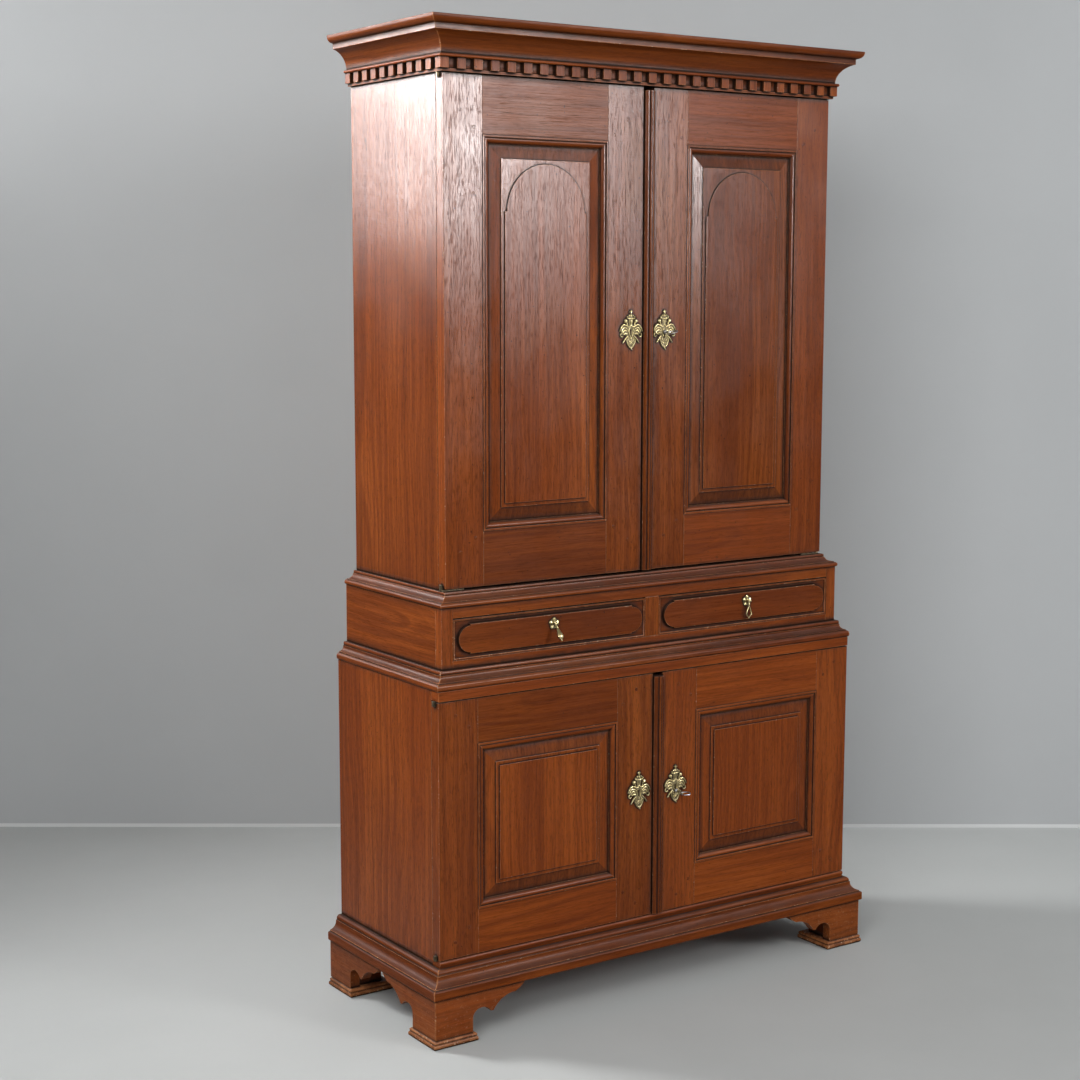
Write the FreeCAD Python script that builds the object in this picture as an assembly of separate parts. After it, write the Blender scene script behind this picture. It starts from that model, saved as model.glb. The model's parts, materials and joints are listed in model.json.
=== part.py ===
import FreeCAD, Part
import math
import os

# Kas cupboard, in millimetres. X runs along the front, Y from front to back and Z up.
# The origin is at the bottom centre of the bounding box, on the floor.

V = FreeCAD.Vector

# ---- Driving dimensions -------------------------------------------------------------

# Plan. Each case stands inside the one below it by a step, at the front and both sides.
lower_case_width = 1078.0
lower_case_depth = 409.0  # from the back to the face of the lower doors
step_at_drawers = 21.5
step_at_upper_case = 25.0
base_projection = 33.0  # of the base moulding and the soles, past the lower case

# Heights, from the floor up
sole_height = 18.0
bracket_height = 82.0
base_moulding_height = 53.0
bottom_rail_show = 13.0  # of the rail between the base moulding and the lower doors
lower_opening_height = 526.0
top_rail_height = 20.0
rail_proud = 2.0  # of the rails above and below the lower doors
lower_waist_height = 36.5
drawer_rail_show = 17.0
drawer_opening_height = 84.0
drawer_top_rail_height = 22.0
upper_waist_height = 27.5
upper_opening_height = 1001.5
cornice_height = 99.5

# Boards
side_thickness = 18.0
back_thickness = 12.0
back_board_count = 5
case_board_thickness = 20.0
shelf_thickness = 18.0
shelf_setback = 45.0
shelf_clearance = 1.0
cleat_width = 22.0
cleat_height = 26.0
lower_shelf_height = 392.0
upper_shelf_heights = (1225.0, 1560.0)

# Doors
door_thickness = 26.0
door_back_gap = 0.8
door_gap = 2.1  # above and below a door, filled by the hinge leaf
upper_door_bottom_gap = 5.0
meeting_half_gap = 13.5  # from the middle of the cupboard to a door's meeting stile
upper_stile_width = 89.0
upper_top_rail = 112.0
upper_bottom_rail = 110.0
lower_stile_width = 91.0
lower_top_rail = 91.5
lower_bottom_rail = 91.5
groove_front = 8.0  # from the door's face to its panel groove
groove_width = 10.0
groove_depth = 9.0
panel_float = 1.5
tenon_length = 58.0
tenon_shoulder = 16.0
mortise_clearance = 1.0

# Panel and its mouldings
panel_moulding_width = 17.0
panel_moulding_proud = 1.2
bevel_width = 27.0
bevel_rise = 4.0
border_rise = 1.8
border_width = 8.0
field_rise = 2.0
arch_shoulder = 5.5
arch_headroom = 8.0

# Meeting strip on each right door
astragal_width = 24.5
astragal_proud = 10.0
astragal_cover = 0.5  # past the nose of the lock behind it
astragal_top_cut = 7.0
astragal_edge = 3.5
astragal_bead_radius = 3.2

# Knife hinges
rod_sides = 12  # flats of every thin round bar and small round hole
hinge_outset = 1.5  # of the pivot, outside the door's edge
hinge_leaf_length = 50.0
hinge_leaf_width = 9.0
hinge_leaf_thickness = 1.8
knuckle_height = 8.0
knuckle_sides = 8
hinge_pin_radius = 2.5
hinge_running_clearance = 0.05
notch_clearance = 0.3

# Drawers
face_frame_thickness = 22.0
end_stile_width = 26.0
muntin_width = 36.0
drawer_side_gap = 1.0
drawer_top_gap = 2.0
drawer_bottom_gap = 0.3
drawer_front_thickness = 20.0
drawer_front_recess = 2.0
drawer_margin = 5.0
drawer_field_rise = 7.0
drawer_field_height = 59.0
drawer_field_length = 450.0
drawer_field_shoulder = 3.0
drawer_side_thickness = 11.0
drawer_side_height = 68.0
drawer_bottom_thickness = 7.0
drawer_bottom_lift = 9.0
drawer_tail_gap = 28.0  # behind a closed drawer
runner_width = 45.0
runner_thickness = 18.0
guide_height = 16.0
guide_clearance = 0.3

# Drop pulls
pull_above_middle = 11.5
rosette_radius = 13.0
rosette_rim = 1.6
rosette_dome = 5.5
rosette_petals = 5
rosette_notch = 2.2  # of the rim between two petals
post_radius = 4.6
post_length = 10.5
post_slot = 3.6
pull_pivot_out = 8.2
pull_pin_radius = 1.0
pull_pin_clearance = 0.08
drop_eye_radius = 2.8
drop_eye_thickness = 2.8
drop_length = 39.0
drop_width = 16.0
drop_thickness = 5.0
drop_neck_width = 3.4
drop_neck_drop = 9.0  # of the pear's top below the pin
drop_tip_radius = 1.7
drop_loop_rim = 2.9
left_drop_lean = 35.0  # degrees that the solid drop stands forward

# Escutcheons, keys and locks
escutcheon_thickness = 2.6
escutcheon_relief = 1.6
stud_sides = 6  # of the raised studs on an escutcheon
upper_keyhole_height = 1401.5
lower_keyhole_height = 439.0
upper_keyhole_inset = 30.0  # from the meeting edge of the stile
lower_keyhole_inset = 35.0
keyhole_radius = 3.4
keyhole_sides = 10
keyhole_slot_width = 3.4
keyhole_drop = 13.5
lower_key_drop = 9.0  # of the key's axis below the middle of the lower plates
key_shank_radius = 2.2
upper_key_reach = 44.0  # of the bow's end, out from the door's face
lower_key_reach = 50.0
key_guide_clearance = 0.3
key_bow_length = 27.0
key_bow_width = 22.0
key_bow_wire = 3.0
key_bow_sides = 12
key_collar_radius = 3.9
key_collar_length = 4.0
key_collar_gap = 0.5
key_bit_radius = 11.0
key_bit_thickness = 2.2
key_bit_length = 6.0
lock_depth = 15.0
lock_wall = 1.5
lock_below_key = 16.0
lock_above_key = 26.0
lock_tail = 22.0
bolt_thickness = 5.0
bolt_height = 11.0
bolt_lift = 9.0  # of the bolt's lower edge above the key's axis
bolt_front_gap = 2.2
bolt_clearance = 0.3
bolt_notch_start = 2.5
bolt_notch_width = 15.0
bolt_notch_height = 4.0

# Slide bolts inside the left doors
slide_inset = 45.0
slide_bolt_side = 8.0
slide_length = 96.0
slide_top_gap = 3.6
slide_travel = 14.0
slide_clearance = 0.1
slide_back_gap = 1.0  # between the bolt and its back plate
slide_hole_clearance = 0.6
slide_hole_end_gap = 1.5
slide_nose_chamfer = 1.0
slide_plate_width = 28.0
slide_plate_height = 80.0
slide_plate_thickness = 1.6
slide_plate_drop = 12.0
staple_height = 12.0
staple_wall = 2.2
staple_margin = 2.0  # from the end of the back plate
slide_knob_radius = 2.6
slide_knob_length = 11.0

# Feet
bracket_thickness = 22.0
bracket_setback = 5.0  # of the bracket's face inside the nose of the base moulding
ankle_width = 88.0
bracket_length = 214.0
ankle_height = 48.0  # from the floor to the top of the upright ankle
notch_length = 21.0  # from the ankle to the top of the round notch
notch_headroom = 35.0
cusp_length = 43.0  # from the ankle to the cusp
cusp_headroom = 46.5
cusp_flat = 6.0
shoulder_run = 24.0  # of the last hollow, at the bracket's end
shoulder_headroom = 18.0
sole_ledge = 10.0
sole_top_round = 7.0
sole_bottom_chamfer = 3.0
corner_block = 58.0
rear_bracket_height = 50.0
rear_bracket_sweep = 12.0

# Cornice
cornice_backing = 22.0
dentil_front_count = 27
dentil_side_count = 11
dentil_width = 19.0
dentil_face = 12.8
bed_fillet = 7.0
bed_fillet_height = 5.5
band_face = 4.5
band_top = 26.0
bead_out = 13.0
bead_height = 6.5

# ---- Places that follow from them ----------------------------------------------------

overall_depth = lower_case_depth + max(base_projection, lower_key_reach)
back_y = overall_depth / 2
lower_face_y = back_y - lower_case_depth
drawer_face_y = lower_face_y + step_at_drawers
upper_face_y = drawer_face_y + step_at_upper_case
lower_half = lower_case_width / 2
drawer_half = lower_half - step_at_drawers
upper_half = drawer_half - step_at_upper_case

foot_top_z = sole_height + bracket_height
base_top_z = foot_top_z + base_moulding_height
lower_floor_z = base_top_z + bottom_rail_show
lower_ceiling_z = lower_floor_z + lower_opening_height
lower_top_z = lower_ceiling_z + top_rail_height
lower_waist_top_z = lower_top_z + lower_waist_height
drawer_floor_z = lower_waist_top_z + drawer_rail_show
drawer_ceiling_z = drawer_floor_z + drawer_opening_height
drawer_top_z = drawer_ceiling_z + drawer_top_rail_height
upper_floor_z = drawer_top_z + upper_waist_height
upper_ceiling_z = upper_floor_z + upper_opening_height
top_z = upper_ceiling_z + cornice_height

lower_front_y = lower_face_y + door_thickness + door_back_gap
upper_front_y = upper_face_y + door_thickness + door_back_gap
face_frame_back_y = drawer_face_y + face_frame_thickness
back_boards_y = back_y - back_thickness
drawer_pitch_x = (muntin_width / 2 + drawer_half - end_stile_width) / 2
knuckle_radius = hinge_leaf_width / 2


# ---- Small helpers ------------------------------------------------------------------


def box(x0, x1, y0, y1, z0, z1):
    return Part.makeBox(x1 - x0, y1 - y0, z1 - z0, V(x0, y0, z0))


def square_bar(x, y, side, z, height):
    """An upright square bar around an axis at x, y."""
    return box(x - side / 2, x + side / 2, y - side / 2, y + side / 2, z, z + height)


def frustum(foot, head):
    """A solid with flat sides between two polygons that have the same number of corners."""
    faces = [Part.Face(Part.makePolygon(loop + loop[:1])) for loop in (foot, head)]
    for n in range(len(foot)):
        after = (n + 1) % len(foot)
        side = [foot[n], foot[after], head[after], head[n]]
        faces.append(Part.Face(Part.makePolygon(side + side[:1])))
    solid = Part.Solid(Part.Shell(faces))
    if solid.Volume < 0:
        solid.reverse()
    return solid


def around(centre, radius, sides, axis):
    """The corners of a regular polygon around an axis."""
    first = axis.cross(V(0, 0, 1)) if abs(axis.z) < 0.5 else V(1, 0, 0)
    second = axis.cross(first)
    turns = [2 * math.pi * (n + 0.5) / sides for n in range(sides)]
    return [centre + first * radius * math.cos(turn) + second * radius * math.sin(turn) for turn in turns]


def boss(centre, base_radius, top_radius, height, sides=8, axis=V(0, -1, 0)):
    """A boss with flat sides, tapered or straight."""
    foot = around(centre, base_radius, sides, axis)
    head = around(centre + axis * height, top_radius, sides, axis)
    return frustum(foot, head)


def rod(centre, radius, length, axis):
    """A thin round bar, as flats whose corners lie at its radius."""
    return boss(centre, radius, radius, length, rod_sides, axis)


def bore(centre, radius, length, axis):
    """What a small round hole takes out, as flats whose middles lie at its radius."""
    corner_radius = radius / math.cos(math.pi / rod_sides)
    return boss(centre, corner_radius, corner_radius, length, rod_sides, axis)


def mirrored(shape):
    """The same shape on the other side of the middle plane."""
    return shape.mirror(V(0, 0, 0), V(1, 0, 0))


def outline(path, place):
    """A face inside a closed path. A step of three numbers is an arc, whose third number
    is its rise to the right of the way the path runs."""
    edges = []
    here = path[0]
    for step in list(path[1:]) + [path[0]]:
        there = step[:2]
        run = math.hypot(there[0] - here[0], there[1] - here[1])
        if run < 1e-6:
            continue
        if len(step) == 3:
            right = ((there[1] - here[1]) / run, (here[0] - there[0]) / run)
            middle = [(here[i] + there[i]) / 2 + step[2] * right[i] for i in (0, 1)]
            edges.append(Part.Arc(place(*here), place(*middle), place(*there)).toShape())
        else:
            edges.append(Part.LineSegment(place(*here), place(*there)).toShape())
        here = there
    return Part.Face(Part.Wire(edges))


def plate(path, y, thickness):
    """A plate cut to an outline in X and Z, from y towards the back."""
    return outline(path, lambda x, z: V(x, y, z)).extrude(V(0, thickness, 0))


def prism(corners, z0, z1):
    """An upright prism on a plan of straight lines."""
    return outline(corners, lambda x, y: V(x, y, z0)).extrude(V(0, 0, z1 - z0))


def mitred_lengths(path, half, face_y, floor_z):
    """The front, left and right lengths of a moulding around a case. The path is the
    section: how far out from the case, and how high above floor_z."""
    inner = min(step[0] for step in path)
    outer = max(step[0] for step in path) + 5
    low = floor_z - 1
    high = floor_z + max(step[1] for step in path) + 5
    far = half + outer
    near_y = face_y - outer
    front = outline(path, lambda out, up: V(-far, face_y - out, floor_z + up))
    front = front.extrude(V(2 * far, 0, 0))
    inner_x = half + inner
    inner_y = face_y - inner
    front_plan = [(-inner_x, inner_y), (-far, near_y), (far, near_y), (inner_x, inner_y)]
    side_plan = [(-inner_x, inner_y), (-far, near_y), (-far, back_y), (-inner_x, back_y)]
    left = outline(path, lambda out, up: V(-half - out, near_y, floor_z + up))
    left = left.extrude(V(0, back_y - near_y, 0))
    front = front.common(prism(front_plan, low, high))
    left = left.common(prism(side_plan, low, high))
    return [front, left, mirrored(left)]


def boards_across(half, y, z0, z1):
    """Upright back boards that fill the width between two sides."""
    width = 2 * half / back_board_count
    left = -half
    return [
        box(left + n * width, left + (n + 1) * width, y, y + back_thickness, z0, z1)
        for n in range(back_board_count)
    ]


def both_sides(shape):
    return [shape, mirrored(shape)]


nodes = {}


def add(name, *solids):
    """Keep a node: its solids, each checked to be a sound closed one."""
    flat = []
    for solid in solids:
        flat.extend(solid.Solids)
    for solid in flat:
        assert solid.isValid() and solid.Volume > 1, name
    nodes[name] = flat


# ---- Feet ---------------------------------------------------------------------------


def bracket_path():
    """A bracket board: upright ankle, round notch, cusp and ogee, measured inwards from
    the foot's corner."""
    shoulder = (bracket_length - shoulder_run, foot_top_z - shoulder_headroom)
    return [
        (0, sole_height),
        (ankle_width, sole_height),
        (ankle_width, ankle_height),
        (ankle_width + notch_length, foot_top_z - notch_headroom, -5.0),
        (ankle_width + cusp_length, foot_top_z - cusp_headroom, -3.5),
        (ankle_width + cusp_length + cusp_flat, foot_top_z - cusp_headroom),
        shoulder + (-8.0,),
        (bracket_length, foot_top_z, 1.5),
        (0, foot_top_z),
    ]


def foot(is_front):
    """A left foot: mitred brackets on a moulded sole, with a block in the corner."""
    out = base_projection - bracket_setback
    left = -lower_half - out
    front = lower_face_y - out if is_front else back_y
    inward = 1 if is_front else -1
    side = outline(bracket_path(), lambda a, up: V(left, front + inward * a, up))
    side = side.extrude(V(bracket_thickness, 0, 0))
    inner = front + inward * bracket_thickness
    block_y = sorted((inner, inner + inward * corner_block))
    block_x = left + bracket_thickness
    block = box(block_x, block_x + corner_block, block_y[0], block_y[1], sole_height, foot_top_z)
    pieces = [block]
    if is_front:
        reach = bracket_length + 10
        across = outline(bracket_path(), lambda a, up: V(left + a, front, up))
        across = across.extrude(V(0, bracket_thickness, 0))
        turn = bracket_thickness
        far = left + reach
        plan = [(left, front), (left + turn, front + turn), (far, front + turn), (far, front)]
        half_mitre = prism(plan, 0, foot_top_z + 1)
        pieces += [across.common(half_mitre), side.cut(half_mitre)]
    else:
        across_end = left + bracket_length * 0.75
        path = [
            (left + bracket_thickness, sole_height),
            (left + ankle_width, sole_height),
            (left + ankle_width, rear_bracket_height),
            (across_end, foot_top_z, -rear_bracket_sweep),
            (left + bracket_thickness, foot_top_z),
        ]
        pieces += [plate(path, back_y - bracket_thickness, bracket_thickness), side]
    lip = bracket_setback
    inner_x = left + ankle_width + sole_ledge
    inner_y = front + inward * (ankle_width + sole_ledge)
    outer_y = front - inward * (lip if is_front else 0)
    y0, y1 = sorted((outer_y, inner_y))
    sole = box(left - lip, inner_x, y0, y1, 0, sole_height)
    top_edges = [e for e in sole.Edges if abs(e.BoundBox.ZMin - sole_height) < 0.01]
    sole = sole.makeFillet(sole_top_round, [e for e in top_edges if e.BoundBox.ZLength < 0.01])
    bottom_edges = [e for e in sole.Edges if e.BoundBox.ZMax < 0.01]
    sole = sole.makeChamfer(sole_bottom_chamfer, bottom_edges)
    return pieces + [sole]


def build_feet():
    for row, is_front in (("front", True), ("rear", False)):
        pieces = foot(is_front)
        add(row + "_left_foot", *pieces)
        add(row + "_right_foot", *[mirrored(piece) for piece in pieces])


# ---- Mouldings ----------------------------------------------------------------------


def build_mouldings():
    nose = base_projection
    base = [
        (0, 0),
        (nose - 3.0, 0),
        (nose, 4.0, 0.9),
        (nose, 16.0),
        (nose - 2.5, 20.0, 0.8),
        (nose - 4.5, 20.0),
        (nose - 4.5, 22.5),
        (13.5, base_moulding_height - 10.5, -5.0),
        (11.5, base_moulding_height - 10.5),
        (11.5, base_moulding_height - 8.0),
        (5.0, base_moulding_height, 2.0),
        (0, base_moulding_height),
    ]
    add("base_moulding", *mitred_lengths(base, lower_half, lower_face_y, foot_top_z))
    nose = step_at_drawers + 3.3
    lower = [
        (0, 0),
        (nose - 3.0, 0),
        (nose, 6.0, 1.3),
        (nose - 3.5, 14.0, 1.4),
        (nose - 5.5, 14.0),
        (nose - 5.5, 16.5),
        (9.0, lower_waist_height - 8.0, -3.6),
        (7.3, lower_waist_height - 8.0),
        (7.3, lower_waist_height - 1.5, 0.7),
        (6.0, lower_waist_height, 0.4),
        (0, lower_waist_height),
    ]
    add("lower_waist_moulding", *mitred_lengths(lower, drawer_half, drawer_face_y, lower_top_z))
    nose = step_at_upper_case + 3.8
    upper = [
        (0, 0),
        (nose - 3.0, 0),
        (nose, 4.0, 1.1),
        (nose - 3.5, 9.5, 1.2),
        (nose - 5.5, 9.5),
        (nose - 5.5, 11.5),
        (8.0, upper_waist_height - 6.0, -4.0),
        (6.5, upper_waist_height - 6.0),
        (6.0, upper_waist_height, 0.5),
        (0, upper_waist_height),
    ]
    add("upper_waist_moulding", *mitred_lengths(upper, upper_half, upper_face_y, drawer_top_z))


def dentil_blocks(z0, z1):
    """Blocks along the front and both sides. The corner blocks are square in plan, so
    that they show on both faces."""
    face_x = upper_half + dentil_face
    face_y = upper_face_y - dentil_face
    band_y = upper_face_y - band_face
    blocks = []
    pitch = (2 * face_x - dentil_width) / (dentil_front_count - 1)
    for n in range(1, dentil_front_count - 1):
        left = -face_x + n * pitch
        blocks.append(box(left, left + dentil_width, face_y, band_y, z0, z1))
    side_pitch = (back_y - face_y - dentil_width) / (dentil_side_count - 1)
    band_x = upper_half + band_face
    for n in range(1, dentil_side_count):
        near = face_y + n * side_pitch
        blocks += both_sides(box(-face_x, -band_x, near, near + dentil_width, z0, z1))
    turn = dentil_width
    corner = [(-face_x, face_y), (-face_x + turn, face_y), (-face_x + turn, band_y)]
    corner += [(-band_x, band_y), (-band_x, face_y + turn), (-face_x, face_y + turn)]
    return blocks + both_sides(prism(corner, z0, z1))


def build_cornice():
    bead_z = band_top + bead_height
    bed = [
        (0, 0),
        (bed_fillet, 0),
        (bed_fillet, bed_fillet_height),
        (band_face, bed_fillet_height),
        (band_face, band_top),
        (bead_out, band_top),
        (bead_out, bead_z, bead_height / 2),
        (0, bead_z),
    ]
    blocks = dentil_blocks(upper_ceiling_z + bed_fillet_height, upper_ceiling_z + band_top)
    lengths = mitred_lengths(bed, upper_half, upper_face_y, upper_ceiling_z)
    add("cornice_dentil_band", *(lengths + blocks))
    crown = [
        (-cornice_backing, case_board_thickness),
        (0, case_board_thickness),
        (0, bead_z),
        (9.5, bead_z),
        (9.5, bead_z + 1.5),
        (38.5, cornice_height - 27.5, -7.5),
        (40.5, cornice_height - 27.0),
        (40.5, cornice_height - 16.5),
        (42.0, cornice_height - 15.5),
        (53.5, cornice_height - 5.0, 2.6),
        (54.0, cornice_height - 1.5),
        (52.5, cornice_height, 0.4),
        (-cornice_backing, cornice_height),
    ]
    lengths = mitred_lengths(crown, upper_half, upper_face_y, upper_ceiling_z)
    inner_x = upper_half - cornice_backing
    z0 = upper_ceiling_z + case_board_thickness
    back_rail = box(-inner_x, inner_x, back_y - cornice_backing, back_y, z0, top_z)
    add("cornice_crown", *(lengths + [back_rail]))


# ---- Cases --------------------------------------------------------------------------


def slide_bolt_holes(face_y, ceiling_z):
    """The square hole that a left door's slide bolt shoots up into."""
    depth = slide_travel - slide_top_gap + slide_hole_end_gap
    side = slide_bolt_side + 2 * slide_hole_clearance
    return square_bar(-meeting_half_gap - slide_inset, slide_bolt_y(face_y), side, ceiling_z, depth)


def build_lower_case():
    side = box(-lower_half, -lower_half + side_thickness, lower_front_y, back_y, foot_top_z, lower_top_z)
    add("lower_case_sides", *both_sides(side))
    inner = lower_half - side_thickness
    floor = box(-inner, inner, lower_front_y, back_y, lower_floor_z - case_board_thickness, lower_floor_z)
    top = box(-inner, inner, lower_front_y, back_y, lower_ceiling_z, lower_top_z)
    top = top.cut(slide_bolt_holes(lower_face_y, lower_ceiling_z))
    add("lower_case_floor_and_top", floor, top)
    add("lower_case_back", *boards_across(inner, back_boards_y, lower_floor_z, lower_ceiling_z))
    nose = [
        (0, 0),
        (0, lower_floor_z - foot_top_z - 9.0),
        (0, lower_floor_z - foot_top_z, -rail_proud),
        (door_thickness + door_back_gap, lower_floor_z - foot_top_z),
        (door_thickness + door_back_gap, 0),
    ]
    bottom_rail = outline(nose, lambda back, up: V(-lower_half, lower_face_y + back, foot_top_z + up))
    bottom_rail = bottom_rail.extrude(V(lower_case_width, 0, 0))
    top_rail_y = lower_face_y - rail_proud
    top_rail = box(-lower_half, lower_half, top_rail_y, lower_front_y, lower_ceiling_z, lower_top_z)
    add("lower_case_door_rails", bottom_rail, top_rail)


def build_drawer_case():
    inner = drawer_half - side_thickness
    side = box(-drawer_half, -inner, face_frame_back_y, back_y, lower_top_z, drawer_top_z)
    top_z0 = drawer_top_z - case_board_thickness
    top = box(-inner, inner, face_frame_back_y, back_y, top_z0, drawer_top_z)
    back = box(-inner, inner, back_boards_y, back_y, lower_top_z, top_z0)
    runner_z0 = drawer_floor_z - runner_thickness
    y0, y1 = face_frame_back_y, back_boards_y
    outer_runner = box(-inner, -inner + runner_width, y0, y1, runner_z0, drawer_floor_z)
    middle_runner = box(-runner_width, runner_width, y0, y1, runner_z0, drawer_floor_z)
    guide_x = drawer_half - end_stile_width + guide_clearance
    guide_z1 = drawer_floor_z + guide_height
    outer_guide = box(-inner, -guide_x, y0, y1, drawer_floor_z, guide_z1)
    middle_x = muntin_width / 2 - guide_clearance
    middle_guide = box(-middle_x, middle_x, y0, y1, drawer_floor_z, guide_z1)
    solids = both_sides(side) + both_sides(outer_runner) + both_sides(outer_guide)
    add("drawer_case", *(solids + [top, back, middle_runner, middle_guide]))
    opening_x = drawer_half - end_stile_width
    y0, y1 = drawer_face_y, face_frame_back_y
    end_stile = box(-drawer_half, -opening_x, y0, y1, lower_top_z, drawer_top_z)
    top_rail = box(-opening_x, opening_x, y0, y1, drawer_ceiling_z, drawer_top_z)
    bottom_rail = box(-opening_x, opening_x, y0, y1, lower_top_z, drawer_floor_z)
    half_muntin = muntin_width / 2
    muntin = box(-half_muntin, half_muntin, y0, y1, drawer_floor_z, drawer_ceiling_z)
    add("drawer_face_frame", *(both_sides(end_stile) + [top_rail, bottom_rail, muntin]))


def build_upper_case():
    inner = upper_half - side_thickness
    side = box(-upper_half, -inner, upper_front_y, back_y, upper_floor_z, upper_ceiling_z)
    add("upper_case_sides", *both_sides(side))
    floor = box(-upper_half, upper_half, upper_face_y, back_y, drawer_top_z, upper_floor_z)
    top_z1 = upper_ceiling_z + case_board_thickness
    top = box(-upper_half, upper_half, upper_face_y, back_y, upper_ceiling_z, top_z1)
    top = top.cut(slide_bolt_holes(upper_face_y, upper_ceiling_z))
    add("upper_case_floor_and_top", floor, top)
    add("upper_case_back", *boards_across(inner, back_boards_y, upper_floor_z, upper_ceiling_z))


def shelf_with_cleats(half, front_y, z):
    """A loose shelf on a cleat at each side."""
    y0 = front_y + shelf_setback
    inner = half - side_thickness
    x = inner - shelf_clearance
    board = box(-x, x, y0, back_boards_y - shelf_clearance, z, z + shelf_thickness)
    cleat = box(-inner, -inner + cleat_width, y0, back_boards_y, z - cleat_height, z)
    return [board] + both_sides(cleat)


def build_shelves():
    solids = shelf_with_cleats(lower_half, lower_front_y, lower_shelf_height)
    for z in upper_shelf_heights:
        solids += shelf_with_cleats(upper_half, upper_front_y, z)
    add("shelves_and_cleats", *solids)


# ---- Hinges -------------------------------------------------------------------------


def hinge_leaf(axis_x, axis_y, z0, thickness):
    """A flat leaf that runs inwards from its rounded end at the pivot."""
    r = knuckle_radius
    leaf = box(axis_x, axis_x + hinge_leaf_length, axis_y - r, axis_y + r, z0, z0 + thickness)
    end = boss(V(axis_x, axis_y, z0), r, r, thickness, knuckle_sides, V(0, 0, 1))
    return leaf.fuse(end).removeSplitter()


def case_leaf(axis_x, axis_y, case_z, up, gap):
    """A leaf on the case with the pivot pin. up is 1 at the foot of a door, -1 at its head."""
    leaf_z = case_z if up > 0 else case_z - hinge_leaf_thickness
    leaf = hinge_leaf(axis_x, axis_y, leaf_z, hinge_leaf_thickness)
    collar = gap - notch_clearance
    pin_end = gap + knuckle_height
    start = V(axis_x, axis_y, case_z)
    axis = V(0, 0, up)
    ring = boss(start, knuckle_radius, knuckle_radius, collar, knuckle_sides, axis)
    pin = rod(start, hinge_pin_radius, pin_end, axis)
    return leaf.multiFuse([ring, pin]).removeSplitter()


def door_leaf(axis_x, axis_y, edge_z, up):
    """A leaf let into a door's end, with the knuckle that turns on the case's pin."""
    leaf_z = edge_z if up > 0 else edge_z - hinge_leaf_thickness
    leaf = hinge_leaf(axis_x, axis_y, leaf_z, hinge_leaf_thickness)
    start = V(axis_x, axis_y, edge_z)
    axis = V(0, 0, up)
    leaf = leaf.fuse(boss(start, knuckle_radius, knuckle_radius, knuckle_height, knuckle_sides, axis))
    hole = bore(start, hinge_pin_radius + hinge_running_clearance, knuckle_height + 1, axis)
    return leaf.cut(hole).removeSplitter()


def hinge_pockets(axis_x, axis_y, edge_z, up):
    """What a leaf and its knuckle take out of the door."""
    r = knuckle_radius
    z0 = edge_z if up > 0 else edge_z - hinge_leaf_thickness
    z1 = z0 + hinge_leaf_thickness
    pocket = box(axis_x, axis_x + hinge_leaf_length, axis_y - r, axis_y + r, z0, z1)
    height = knuckle_height + notch_clearance
    return pocket.fuse(bore(V(axis_x, axis_y, edge_z), r + notch_clearance, height, V(0, 0, up)))


# ---- Doors --------------------------------------------------------------------------


class Door:
    """The sizes of one pair of doors. Every shape is made as the left door of the pair."""

    def __init__(self, half, face_y, floor_z, ceiling_z, bottom_gap, stile, top_rail, bottom_rail, arched):
        self.half = half
        self.face_y = face_y
        self.case_floor = floor_z
        self.case_ceiling = ceiling_z
        self.bottom_gap = bottom_gap
        self.x0 = -half
        self.x1 = -meeting_half_gap
        self.z0 = floor_z + bottom_gap
        self.z1 = ceiling_z - door_gap
        self.stile = stile
        self.open_x0 = self.x0 + stile
        self.open_x1 = self.x1 - stile
        self.open_z0 = self.z0 + bottom_rail
        self.open_z1 = self.z1 - top_rail
        self.arched = arched
        self.axis_x = self.x0 - hinge_outset
        self.axis_y = face_y + door_thickness / 2


upper = Door(
    upper_half, upper_face_y, upper_floor_z, upper_ceiling_z, upper_door_bottom_gap,
    upper_stile_width, upper_top_rail, upper_bottom_rail, True,
)
lower = Door(
    lower_half, lower_face_y, lower_floor_z, lower_ceiling_z, door_gap,
    lower_stile_width, lower_top_rail, lower_bottom_rail, False,
)


def door_frame(door):
    """Two stiles and two rails, mortised, tenoned and grooved for the panel."""
    y0 = door.face_y
    y1 = y0 + door_thickness
    gy0 = y0 + groove_front
    gy1 = gy0 + groove_width
    groove = box(
        door.open_x0 - groove_depth, door.open_x1 + groove_depth, gy0, gy1,
        door.open_z0 - groove_depth, door.open_z1 + groove_depth,
    )
    stiles = [box(door.x0, door.open_x0, y0, y1, door.z0, door.z1)]
    stiles.append(box(door.open_x1, door.x1, y0, y1, door.z0, door.z1))
    rails = []
    for z0, z1, outer_end in ((door.z0, door.open_z0, -1), (door.open_z1, door.z1, 1)):
        tenon_z0 = z0 + (tenon_shoulder if outer_end < 0 else 0)
        tenon_z1 = z1 - (tenon_shoulder if outer_end > 0 else 0)
        rail = box(door.open_x0, door.open_x1, y0, y1, z0, z1)
        reach_x0 = door.open_x0 - tenon_length
        reach_x1 = door.open_x1 + tenon_length
        tenons = box(reach_x0, reach_x1, gy0, gy1, tenon_z0, tenon_z1)
        rails.append(rail.fuse(tenons).cut(groove).removeSplitter())
        slack = mortise_clearance
        mortise = box(reach_x0 - slack, reach_x1 + slack, gy0, gy1, tenon_z0, tenon_z1)
        stiles = [stile.cut(mortise) for stile in stiles]
    pockets = [
        hinge_pockets(door.axis_x, door.axis_y, door.z0, 1),
        hinge_pockets(door.axis_x, door.axis_y, door.z1, -1),
    ]
    stiles = [stile.cut(groove) for stile in stiles]
    for pocket in pockets:
        stiles[0] = stiles[0].cut(pocket)
    return stiles, rails


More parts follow.
